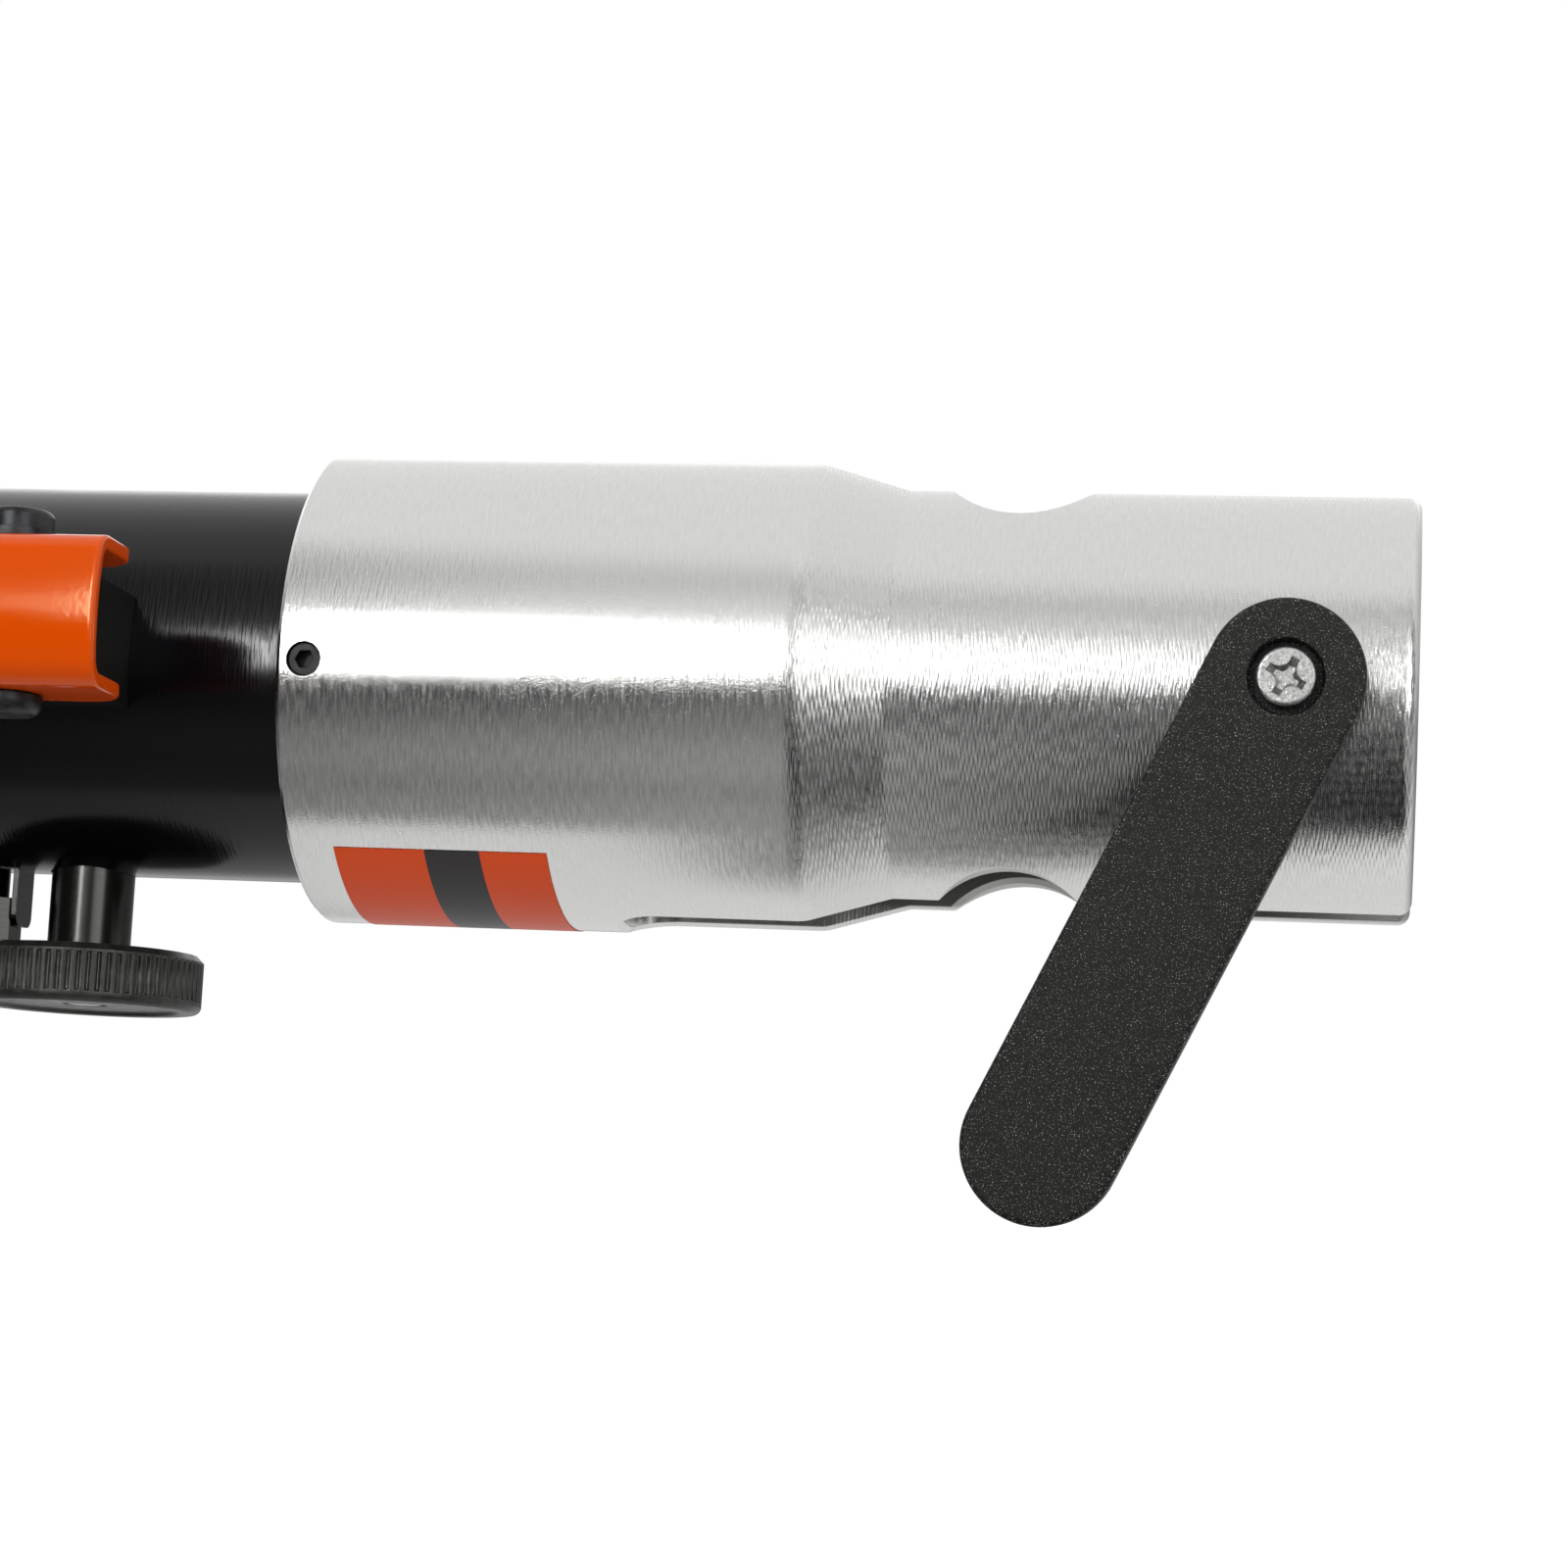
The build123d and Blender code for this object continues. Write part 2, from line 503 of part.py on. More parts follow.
def pump_body():
    outline = [
        (NOSE_FRONT, 0),
        (NOSE_FRONT, BODY_RADIUS),
        (BODY_CONE_FRONT, BODY_RADIUS),
        (BODY_REAR, BODY_TAIL_RADIUS),
        (BODY_REAR, 0),
    ]
    body = turned_x(outline, [(outline[2], BODY_CONE_BLEND)])
    body -= rod_x(CYLINDER_RADIUS, NOSE_FRONT - OVERCUT, CYLINDER_END)
    groove_width = 2 * (LOCK_SCREW_RADIUS + LOCK_GROOVE_PLAY)
    body -= ring_x(BODY_RADIUS + OVERCUT, LOCK_GROOVE_RADIUS, LOCK_SCREW_X, groove_width)
    body -= rod_y(LUG_SPIGOT_RADIUS + SEAT_FIT, -FULCRUM_Y, -LUG_FOOT + SEAT_FIT, FULCRUM_X)
    body -= rod_y(BARREL_RADIUS + SEAT_FIT, -BARREL_TOP, -BARREL_FLOOR, PLUNGER_X)
    body -= rod_y(PLUNGER_RADIUS + RUN_FIT, -BARREL_TOP, -PLUNGER_BORE_END, PLUNGER_X)
    body -= rod_y(CHECK_POCKET_RADIUS, -BARREL_TOP, 2 * CHECK_POCKET_RADIUS, PLUNGER_X)
    port_end = CYLINDER_END + 3 * CHECK_POCKET_RADIUS
    body -= rod_x(CHECK_POCKET_RADIUS, CYLINDER_END - OVERCUT, port_end, 0, CHECK_PORT_Z)
    above = BODY_RADIUS + OVERCUT
    body -= rod_z(STEM_SHANK_RADIUS + RUN_FIT, STEM_FLOOR - STEM_SEAT_GAP, above, RELEASE_X)
    body -= rod_z(STEM_RADIUS + FACE_GAP, FLAT_SEAT, above, RELEASE_X)
    body -= rod_z(RELIEF_NECK_RADIUS + SEAT_FIT, RELIEF_FLOOR, above, RELIEF_X)
    tab_sides = (RELIEF_X - TAB_REACH - SEAT_FIT, RELIEF_X + TAB_REACH + SEAT_FIT)
    body -= block(tab_sides, (-TAB_WIDTH, TAB_WIDTH), (FLAT_SEAT, above))
    return body - rod_x(TUBE_RADIUS + SEAT_FIT, TUBE_FRONT - SEAT_FIT, BODY_REAR + OVERCUT)


def cylinder_gland():
    ring = ring_x(CYLINDER_RADIUS - SEAT_FIT, ROD_RADIUS + RUN_FIT, GLAND_MIDDLE, GLAND_LENGTH)
    return ring - rod_x(ROD_RADIUS + SEAL_GROOVE_DEPTH, GLAND_MIDDLE - SEAL_GROOVE_WIDTH / 2,
                        GLAND_MIDDLE + SEAL_GROOVE_WIDTH / 2)


def rod_seal():
    outer = ROD_RADIUS + SEAL_GROOVE_DEPTH - SEAT_FIT
    return ring_x(outer, ROD_RADIUS + RUN_FIT, GLAND_MIDDLE, SEAL_GROOVE_WIDTH - 2 * SEAT_FIT)


def ring_z(outer, inner, start, end, x, y):
    """A flat ring about a line along Z."""
    return rod_z(outer, start, end, x, y) - rod_z(inner, start - OVERCUT, end + OVERCUT, x, y)


def fulcrum_lug():
    sides = (FULCRUM_X - LUG_RADIUS, FULCRUM_X + LUG_RADIUS)
    lug = block(sides, (-FULCRUM_Y, -LUG_FOOT), (-LUG_HALF, LUG_HALF))
    lug += rod_z(LUG_RADIUS, -LUG_HALF, LUG_HALF, FULCRUM_X, -FULCRUM_Y)
    lug -= rod_x(BODY_RADIUS + SEAT_FIT, HEAD_REAR, BODY_REAR)
    lug += rod_y(LUG_SPIGOT_RADIUS, -FULCRUM_Y + LUG_RADIUS, -LUG_FOOT, FULCRUM_X)
    return lug - rod_z(BOLT_RADIUS + SEAT_FIT, -BODY_RADIUS, BODY_RADIUS, FULCRUM_X, -FULCRUM_Y)


def fulcrum_bolt():
    top = -BOLT_SEAT - BOLT_HEAD_HEIGHT
    head = rod_z(BOLT_HEAD_RADIUS, top, -BOLT_SEAT, FULCRUM_X, -FULCRUM_Y)
    head = fillet(head.edges().group_by(Axis.Z)[0], BOLT_HEAD_FILLET)
    head -= hex_prism_z(BOLT_SOCKET, top - OVERCUT, top + BOLT_SOCKET_DEPTH, FULCRUM_X, -FULCRUM_Y)
    return head + rod_z(BOLT_RADIUS, -BOLT_SEAT, BOLT_END, FULCRUM_X, -FULCRUM_Y)


def fulcrum_nut():
    nut = rod_z(NUT_RADIUS, WASHER_SEAT, WASHER_SEAT + NUT_HEIGHT, FULCRUM_X, -FULCRUM_Y)
    nut = fillet(nut.edges().group_by(Axis.Z)[-1], NUT_DOME)
    return nut - rod_z(BOLT_RADIUS + SEAT_FIT, 0, BOLT_END + SEAT_FIT, FULCRUM_X, -FULCRUM_Y)


def fulcrum_washer():
    return ring_z(WASHER_RADIUS, BOLT_RADIUS + SEAT_FIT, -BOLT_SEAT, -WASHER_SEAT, FULCRUM_X, -FULCRUM_Y)


def pump_barrel():
    barrel = rod_y(BARREL_RADIUS, -BARREL_TOP, -BARREL_FLOOR, PLUNGER_X)
    barrel = chamfer(barrel.edges().group_by(Axis.Y)[0], BARREL_CHAMFER)
    barrel -= rod_y(PLUNGER_RADIUS + RUN_FIT, -BARREL_TOP - OVERCUT, 0, PLUNGER_X)
    seal_near = -PLUNGER_SEAL_FAR - PLUNGER_SEAL_WIDTH
    return barrel - rod_y(PLUNGER_RADIUS + PLUNGER_SEAL_DEPTH, seal_near, -PLUNGER_SEAL_FAR, PLUNGER_X)


def plunger_seal():
    near = -PLUNGER_SEAL_FAR - PLUNGER_SEAL_WIDTH + SEAT_FIT
    far = -PLUNGER_SEAL_FAR - SEAT_FIT
    ring = rod_y(PLUNGER_RADIUS + PLUNGER_SEAL_DEPTH - SEAT_FIT, near, far, PLUNGER_X)
    return ring - rod_y(PLUNGER_RADIUS + RUN_FIT, near - OVERCUT, far + OVERCUT, PLUNGER_X)


def check_balls():
    intake_y = 2 * CHECK_POCKET_RADIUS - CHECK_BALL_RADIUS - SEAT_FIT
    intake = Pos(PLUNGER_X, intake_y, 0) * Sphere(CHECK_BALL_RADIUS)
    delivery_x = CYLINDER_END + 3 * CHECK_POCKET_RADIUS - CHECK_BALL_RADIUS - SEAT_FIT
    delivery = Pos(delivery_x, 0, CHECK_PORT_Z) * Sphere(CHECK_BALL_RADIUS)
    return [intake, delivery]


def relief_plug():
    head = hex_prism_z(RELIEF_HEAD_FLATS, RELIEF_HEAD_BOTTOM, RELIEF_HEAD_TOP, RELIEF_X, turn=30)
    return head + rod_z(RELIEF_NECK_RADIUS, RELIEF_FLOOR + RELIEF_SPRING_LENGTH, RELIEF_HEAD_BOTTOM, RELIEF_X)


def relief_spring():
    coil = coil_x(RELIEF_SPRING_WIRE, RELIEF_NECK_RADIUS - RELIEF_SPRING_WIRE, FACE_GAP,
                  RELIEF_SPRING_LENGTH - FACE_GAP, RELIEF_SPRING_TURNS)
    return Pos(RELIEF_X, 0, RELIEF_FLOOR) * Rot(0, -90, 0) * coil


def lock_tab():
    sides = (RELIEF_X - TAB_REACH, RELIEF_X + TAB_REACH)
    half = TAB_WIDTH / 2
    plate = block(sides, (-half, half), (FLAT_SEAT, FLAT_SEAT + TAB_THICKNESS))
    ear = block((sides[0], sides[0] + TAB_THICKNESS), (-half, half), (FLAT_SEAT, TAB_TOP))
    ear = fillet(ear.edges().filter_by(Axis.X).group_by(Axis.Z)[-1], half / 2)
    return plate + ear - rod_z(RELIEF_NECK_RADIUS + SEAT_FIT, 0, BODY_RADIUS + OVERCUT, RELIEF_X)


# Release valve


def release_stem():
    shoulder = FLAT_SEAT + FACE_GAP
    outline = [
        (STEM_FLOOR, 0),
        (STEM_FLOOR, NEEDLE_TIP_RADIUS),
        (STEM_FLOOR + NEEDLE_LENGTH, STEM_SHANK_RADIUS),
        (shoulder, STEM_SHANK_RADIUS),
        (shoulder, STEM_RADIUS),
        (KNOB_BOTTOM, STEM_RADIUS),
        (KNOB_BOTTOM, STEM_SHANK_RADIUS),
        (KNOB_SCREW_SEAT, STEM_SHANK_RADIUS),
        (KNOB_SCREW_SEAT, 0),
    ]
    stem = turned_x(outline)
    stem -= ring_x(STEM_RADIUS, STEM_SHANK_RADIUS - STEM_SEAL_DEPTH, STEM_SEAL_Z, STEM_SEAL_WIDTH)
    stem -= rod_x(KNOB_SCREW_RADIUS + SEAT_FIT, KNOB_SCREW_SEAT - KNOB_SCREW_LENGTH, KNOB_TOP)
    return Pos(RELEASE_X, 0, 0) * Rot(0, -90, 0) * stem


def stem_seal():
    inner = STEM_SHANK_RADIUS - STEM_SEAL_DEPTH + SEAT_FIT
    ring = ring_x(STEM_SHANK_RADIUS, inner, STEM_SEAL_Z, STEM_SEAL_WIDTH - 2 * SEAT_FIT)
    return Pos(RELEASE_X, 0, 0) * Rot(0, -90, 0) * ring


def release_knob():
    root = KNOB_RADIUS - KNOB_RIDGE_DEPTH
    points = []
    for ridge in range(KNOB_RIDGES):
        crest = 2 * pi * ridge / KNOB_RIDGES
        valley = crest + pi / KNOB_RIDGES
        points.append((KNOB_RADIUS * cos(crest), KNOB_RADIUS * sin(crest)))
        points.append((root * cos(valley), root * sin(valley)))
    ridged = Pos(0, 0, KNOB_BOTTOM) * extrude(make_face(Polyline(*points, close=True)), KNOB_HEIGHT)
    envelope = rod_z(KNOB_RADIUS + SEAT_FIT, KNOB_BOTTOM, KNOB_TOP)
    envelope = chamfer(envelope.edges().group_by(Axis.Z)[0], KNOB_EDGE_CHAMFER)
    envelope = chamfer(envelope.edges().group_by(Axis.Z)[-1], KNOB_FACE_CHAMFER)
    knob = ridged & envelope
    knob -= rod_z(KNOB_RADIUS - KNOB_RIM, KNOB_FACE, KNOB_TOP + OVERCUT)
    knob -= rod_z(STEM_SHANK_RADIUS + SEAT_FIT, KNOB_BOTTOM - OVERCUT, KNOB_SCREW_SEAT)
    knob -= rod_z(KNOB_SCREW_HEAD_RADIUS + FACE_GAP, KNOB_BOTTOM, KNOB_TOP + OVERCUT)
    return Pos(RELEASE_X, 0, 0) * knob


def knob_screw():
    head = rod_z(KNOB_SCREW_HEAD_RADIUS, KNOB_SCREW_SEAT, KNOB_FACE, RELEASE_X)
    head = fillet(head.edges().group_by(Axis.Z)[-1], KNOB_SCREW_HEAD_HEIGHT / 2)
    tip = KNOB_SCREW_SEAT - KNOB_SCREW_LENGTH + SEAT_FIT
    return head + rod_z(KNOB_SCREW_RADIUS, tip, KNOB_SCREW_SEAT, RELEASE_X)


# Pump lever


def pump_yoke():
    across = 2 * YOKE_OUTER_HALF
    edge = -YOKE_WEB_Y + YOKE_DEPTH
    yoke = block((YOKE_FRONT, YOKE_REAR), (-YOKE_WEB_Y, edge), (-YOKE_OUTER_HALF, YOKE_OUTER_HALF))
    yoke = fillet(yoke.edges().filter_by(Axis.X).group_by(Axis.Y)[0], YOKE_BEND)
    yoke = fillet(yoke.edges().filter_by(Axis.Z).group_by(Axis.Y)[-1], YOKE_CORNER)
    inside = block((YOKE_FRONT - OVERCUT, YOKE_REAR + OVERCUT), (-YOKE_WEB_Y + YOKE_PLATE, edge + OVERCUT),
                   (-YOKE_HALF, YOKE_HALF))
    inner_bends = inside.edges().filter_by(Axis.X).group_by(Axis.Y)[0]
    yoke -= fillet(inner_bends, YOKE_BEND - YOKE_PLATE)
    yoke -= rod_z(BOLT_RADIUS + RUN_FIT, -across, across, FULCRUM_X, -FULCRUM_Y)
    slot = SlotCenterToCenter(PIN_SLOT_TRAVEL + PIN_SLOT_PLAY, 2 * PIN_SLOT_RADIUS)
    slot_x = PLUNGER_X + PIN_SLOT_TRAVEL / 2
    yoke -= Pos(slot_x, -FULCRUM_Y, -across) * extrude(slot, 2 * across)
    for rivet_x in RIVET_PLACES:
        yoke -= rod_z(RIVET_RADIUS + SEAT_FIT, -across, across, rivet_x, -LEVER_TUBE_Y)
    return yoke


def lever_tube():
    tube = rod_x(LEVER_TUBE_RADIUS, LEVER_TUBE_FRONT, TUBE_END, -LEVER_TUBE_Y)
    bore = LEVER_TUBE_RADIUS - LEVER_TUBE_WALL
    tube -= rod_x(bore, LEVER_TUBE_FRONT - OVERCUT, TUBE_END + OVERCUT, -LEVER_TUBE_Y)
    for rivet_x in RIVET_PLACES:
        tube -= rod_z(RIVET_RADIUS + SEAT_FIT, -YOKE_HALF, YOKE_HALF, rivet_x, -LEVER_TUBE_Y)
    return tube


def yoke_rivets():
    rivets = []
    for rivet_x in RIVET_PLACES:
        top = YOKE_OUTER_HALF + RIVET_HEAD_HEIGHT
        heads = rod_z(RIVET_HEAD_RADIUS, -top, top, rivet_x, -LEVER_TUBE_Y)
        heads = fillet(heads.edges().filter_by(GeomType.CIRCLE), RIVET_HEAD_HEIGHT * 0.8)
        low, high = -YOKE_OUTER_HALF, YOKE_OUTER_HALF
        waist = rod_z(2 * RIVET_HEAD_RADIUS, low, high, rivet_x, -LEVER_TUBE_Y)
        waist -= rod_z(RIVET_RADIUS, low, high, rivet_x, -LEVER_TUBE_Y)
        rivets.append(heads - waist)
    return rivets


def grip(radius, tube_radius, y):
    """A grooved rubber sleeve with a closed end, on a tube along X."""
    sleeve = rod_x(radius, GRIP_FRONT, HANDLE_END, y)
    sleeve = fillet(sleeve.edges().filter_by(GeomType.CIRCLE), GRIP_END_FILLET)
    step = GRIP_LENGTH / (GRIP_GROOVES + 1)
    for groove in range(1, GRIP_GROOVES + 1):
        middle = GRIP_FRONT + groove * step
        floor = radius - GRIP_GROOVE_DEPTH
        sleeve -= Pos(0, y, 0) * ring_x(radius + OVERCUT, floor, middle, GRIP_GROOVE_WIDTH)
    return sleeve - rod_x(tube_radius + SEAT_FIT, GRIP_FRONT - OVERCUT, HANDLE_END - GRIP_END_WALL, y)


def pump_plunger():
    plunger = rod_y(PLUNGER_RADIUS, -FULCRUM_Y, -PLUNGER_INNER_END, PLUNGER_X)
    half = PLUNGER_EYE_WIDTH / 2
    plunger += rod_z(PLUNGER_EYE_RADIUS, -half, half, PLUNGER_X, -FULCRUM_Y)
    hole = PLUNGER_PIN_RADIUS + SEAT_FIT
    return plunger - rod_z(hole, -PLUNGER_EYE_WIDTH, PLUNGER_EYE_WIDTH, PLUNGER_X, -FULCRUM_Y)


def plunger_pin():
    half = WASHER_SEAT + 2 * CLIP_THICKNESS
    pin = rod_z(PLUNGER_PIN_RADIUS, -half, half, PLUNGER_X, -FULCRUM_Y)
    return chamfer(pin.edges().filter_by(GeomType.CIRCLE), PLUNGER_PIN_CHAMFER)


def plunger_clips():
    hole = PLUNGER_PIN_RADIUS + SEAT_FIT
    outer = PLUNGER_PIN_RADIUS + CLIP_WALL
    mouth_half = PLUNGER_PIN_RADIUS / 3
    mouth = block((PLUNGER_X, PLUNGER_X + 2 * outer), (-FULCRUM_Y - mouth_half, -FULCRUM_Y + mouth_half),
                  (-2 * WASHER_SEAT, 2 * WASHER_SEAT))
    clips = []
    for low in (-WASHER_SEAT - CLIP_THICKNESS, WASHER_SEAT):
        clips.append(ring_z(outer, hole, low, low + CLIP_THICKNESS, PLUNGER_X, -FULCRUM_Y) - mouth)
    return clips


# Fixed handle


def reservoir_tube():
    tube = rod_x(TUBE_RADIUS, TUBE_FRONT, TUBE_END)
    return tube - rod_x(TUBE_BORE, TUBE_FRONT - OVERCUT, TUBE_END + OVERCUT)


def bladder_spigot():
    outline = [
        (TUBE_FRONT, OIL_BORE_RADIUS),
        (TUBE_FRONT, TUBE_BORE - SEAT_FIT),
        (BLADDER_FRONT, TUBE_BORE - SEAT_FIT),
        (BLADDER_FRONT, BLADDER_SPIGOT_RADIUS),
        (BLADDER_FRONT + BLADDER_SPIGOT_LENGTH, BLADDER_SPIGOT_RADIUS),
        (BLADDER_FRONT + BLADDER_SPIGOT_LENGTH, OIL_BORE_RADIUS),
    ]
    return turned_x(outline)


def oil_bladder():
    start = BLADDER_FRONT + SEAT_FIT
    end = start + BLADDER_LENGTH
    neck_end = start + BLADDER_SPIGOT_LENGTH
    neck = BLADDER_SPIGOT_RADIUS + SEAT_FIT
    wall = BLADDER_WALL
    outline = [
        (start, neck),
        (start, neck + wall),
        (neck_end, neck + wall),
        (neck_end + 2 * wall, BLADDER_RADIUS),
        (end, BLADDER_RADIUS),
        (end, 0),
        (end - wall, 0),
        (end - wall, BLADDER_RADIUS - wall),
        (neck_end + 3 * wall, BLADDER_RADIUS - wall),
        (neck_end + wall, neck),
    ]
    return turned_x(outline, [(outline[4], wall / 2)])


def tube_plug():
    plug = rod_x(TUBE_BORE - SEAT_FIT, TUBE_END - PLUG_LENGTH, TUBE_END)
    return chamfer(plug.edges().filter_by(GeomType.CIRCLE), PLUG_CHAMFER)


def head_side():
    """The pieces that turn with the head: each name with its solid or list of solids."""
    return {
        "head_housing": head_housing(),
        "head_lock_screw": head_lock_screw(),
        "jaw_pin": jaw_pin(),
        "latch_lever": latch_lever(),
        "latch_screw": latch_screw(),
        "ram": ram(),
        "piston_seal": piston_seal(),
        "roller_carrier": roller_carrier(),
        "roller_axles": roller_axles(),
        "roller_lower": roller(1),
        "roller_upper": roller(-1),
    }


def pump_side():
    """The pieces of the pump and the handles: each name with its solid or list of solids."""
    return {
        "return_spring": return_spring(),
        "pump_body": pump_body(),
        "cylinder_gland": cylinder_gland(),
        "rod_seal": rod_seal(),
        "fulcrum_lug": fulcrum_lug(),
        "fulcrum_bolt": fulcrum_bolt(),
        "fulcrum_nut": fulcrum_nut(),
        "fulcrum_washer": fulcrum_washer(),
        "pump_barrel": pump_barrel(),
        "plunger_seal": plunger_seal(),
        "check_balls": check_balls(),
        "relief_plug": relief_plug(),
        "relief_spring": relief_spring(),
        "lock_tab": lock_tab(),
        "release_stem": release_stem(),
        "stem_seal": stem_seal(),
        "release_knob": release_knob(),
        "knob_screw": knob_screw(),
        "pump_yoke": pump_yoke(),
        "lever_tube": lever_tube(),
        "yoke_rivets": yoke_rivets(),
        "moving_grip": grip(LEVER_TUBE_RADIUS + MOVING_GRIP_WALL, LEVER_TUBE_RADIUS, -LEVER_TUBE_Y),
        "pump_plunger": pump_plunger(),
        "plunger_pin": plunger_pin(),
        "plunger_clips": plunger_clips(),
        "reservoir_tube": reservoir_tube(),
        "bladder_spigot": bladder_spigot(),
        "oil_bladder": oil_bladder(),
        "tube_plug": tube_plug(),
        "fixed_grip": grip(TUBE_RADIUS + FIXED_GRIP_WALL, TUBE_RADIUS, 0.0),
    }


def export(nodes, place):
    """Write each node's solids, turned to their place, to its own file."""
    for name, shape in nodes.items():
        pieces = shape if isinstance(shape, list) else [shape]
        solids = [place * solid for piece in pieces for solid in piece.solids()]
        export_step(Compound(children=solids), f"parts/{name}.step")


os.makedirs("parts", exist_ok=True)
as_held = Rot(0, 180, 0)
export(head_side(), as_held)
export(pump_side(), as_held * Rot(HEAD_TURN, 0, 0))
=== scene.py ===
"""Dresses the hydraulic crimping tool: finer meshes for the pieces that show, and a finish for every piece.

The tool lies along X with its jaw end to +X. The pump lever and the latch lever are on the -Y side and
the release knob hangs below. The tool's sizes are written in millimetres and become metres where a mesh
is made. Those of the room and the camera are in metres.
"""
from abc import ABC, abstractmethod
from dataclasses import dataclass
from enum import Enum
from functools import cache
import logging
from math import asin, cos, pi, radians, sin, tan
from typing import Callable, Iterable, Sequence

import bmesh
import bpy
from mathutils import Matrix, Vector


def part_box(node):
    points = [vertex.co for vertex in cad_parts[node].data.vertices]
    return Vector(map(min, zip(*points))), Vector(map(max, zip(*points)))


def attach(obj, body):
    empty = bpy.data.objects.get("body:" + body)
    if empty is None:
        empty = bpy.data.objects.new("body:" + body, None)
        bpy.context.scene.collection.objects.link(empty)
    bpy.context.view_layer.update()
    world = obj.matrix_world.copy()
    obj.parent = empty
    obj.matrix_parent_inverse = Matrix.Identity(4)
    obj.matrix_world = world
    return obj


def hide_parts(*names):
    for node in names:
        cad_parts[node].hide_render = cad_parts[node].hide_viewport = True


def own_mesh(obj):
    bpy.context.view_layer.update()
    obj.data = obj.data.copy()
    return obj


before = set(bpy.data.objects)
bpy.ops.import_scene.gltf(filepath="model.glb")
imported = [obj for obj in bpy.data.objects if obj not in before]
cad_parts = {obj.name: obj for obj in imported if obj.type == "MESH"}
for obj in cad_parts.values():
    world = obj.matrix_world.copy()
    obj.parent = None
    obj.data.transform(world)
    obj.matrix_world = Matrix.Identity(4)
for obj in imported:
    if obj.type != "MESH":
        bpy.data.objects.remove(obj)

LOG = logging.getLogger("crimping_tool")
MM = 0.001
# The head is swivelled a little in the photograph. The frame follows the head, so the pump is turned.
HEAD_TURN = radians(2.2)
PUMP_TURN = Matrix.Rotation(-HEAD_TURN, 4, "X")
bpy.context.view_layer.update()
WHITE = "#FFFFFF"

# Small measures of the meshes, in millimetres. A lip is the rounded edge of a hole or a dish.
SAME_POINT = 0.0005
SAME_RADIUS = 0.01
FLAT_RIM = 0.2
LIP = 0.35
LIP_MIDDLE = 0.1

# How much chips add to the agreement of an edge's two normals, and below what the finish is worn right off.
CHIP_DEPTH = 0.1
WORN_BELOW = 0.9

# The levels between which nearly all of a noise lies.
NOISE_SPAN = (0.3, 0.7)

Ring = list[Vector]
Point = tuple[float, float]
Outline = Callable[[float], list[Point]]
Loop = list[bmesh.types.BMVert]
Tree = bpy.types.NodeTree
Socket = bpy.types.NodeSocket
Outputs = bpy.types.NodeOutputs
Inputs = dict[str | int, float | Sequence[float] | Socket]
Marks = tuple[Socket, Inputs]


class Lay(int, Enum):
    """The axis along which a turned or ground piece was fed."""

    X = 0
    Y = 1
    Z = 2


class Body(str, Enum):
    """The moving bodies of the tool that a piece can ride on."""

    PUMP = "body"
    HEAD = "head"
    LATCH = "latch_lever"
    LEVER = "pump_lever"
    VALVE = "release_valve"


def srgb(code: str) -> tuple[float, float, float, float]:
    """Turns an sRGB hex colour into linear red, green, blue and alpha.

    Args:
        code: the colour as six hex digits after a hash sign.

    Returns:
        Four numbers from 0 to 1, as a shader's colour socket takes them.
    """
    channels = [int(code[i:i + 2], 16) / 255 for i in (1, 3, 5)]
    linear = [c / 12.92 if c <= 0.04045 else ((c + 0.055) / 1.055) ** 2.4 for c in channels]
    return (*linear, 1.0)


def add_node(tree: Tree, kind: str, inputs: Inputs | None = None, **settings: object) -> Outputs:
    """Adds one shader node, sets it and links it.

    Args:
        tree: the node tree that gets the node.
        kind: the node's type without its ShaderNode prefix, such as "Bump".
        inputs: socket name or number, with its value or the output socket that feeds it.
        settings: properties of the node itself.

    Returns:
        The new node's outputs.
    """
    node = tree.nodes.new("ShaderNode" + kind)
    for name, value in settings.items():
        setattr(node, name, value)
    for socket, value in (inputs or {}).items():
        if isinstance(value, Socket):
            tree.links.new(value, node.inputs[socket])
        else:
            node.inputs[socket].default_value = value
    return node.outputs


def skin(bm: bmesh.types.BMesh, rings: Sequence[Ring], looped: bool = False) -> list[Loop]:
    """Covers a row of closed rings with quads.

    Args:
        bm: the mesh that gets the faces.
        rings: closed rings of points, all with the same count.
        looped: whether the last ring joins the first one again.

    Returns:
        The vertices of each ring.
    """
    loops = [[bm.verts.new(point) for point in ring] for ring in rings]
    pairs = list(zip(loops, loops[1:]))
    if looped:
        pairs.append((loops[-1], loops[0]))
    for near, far in pairs:
        for i, vert in enumerate(near):
            j = (i + 1) % len(near)
            bm.faces.new((vert, near[j], far[j], far[i]))
    return loops


def cap(bm: bmesh.types.BMesh, loops: Iterable[Loop]) -> None:
    """Fills the flat area inside one loop of vertices, round any loops of holes in it.

    Args:
        bm: the mesh that gets the faces.
        loops: the outer loop, then the loops of its holes.
    """
    edges = []
    for loop in loops:
        for pair in zip([loop[-1], *loop], loop):
            edges.append(bm.edges.get(pair) or bm.edges.new(pair))
    bmesh.ops.triangle_fill(bm, use_beauty=True, edges=edges)


def link_mesh(name: str, bm: bmesh.types.BMesh) -> bpy.types.Object:
    """Makes a scene object of a mesh in metres.

    Args:
        name: the object's name.
        bm: the mesh, which is used up.

    Returns:
        The new object.
    """
    mesh = bpy.data.meshes.new(name)
    bm.to_mesh(mesh)
    bm.free()
    made = bpy.data.objects.new(name, mesh)
    bpy.context.scene.collection.objects.link(made)
    return made


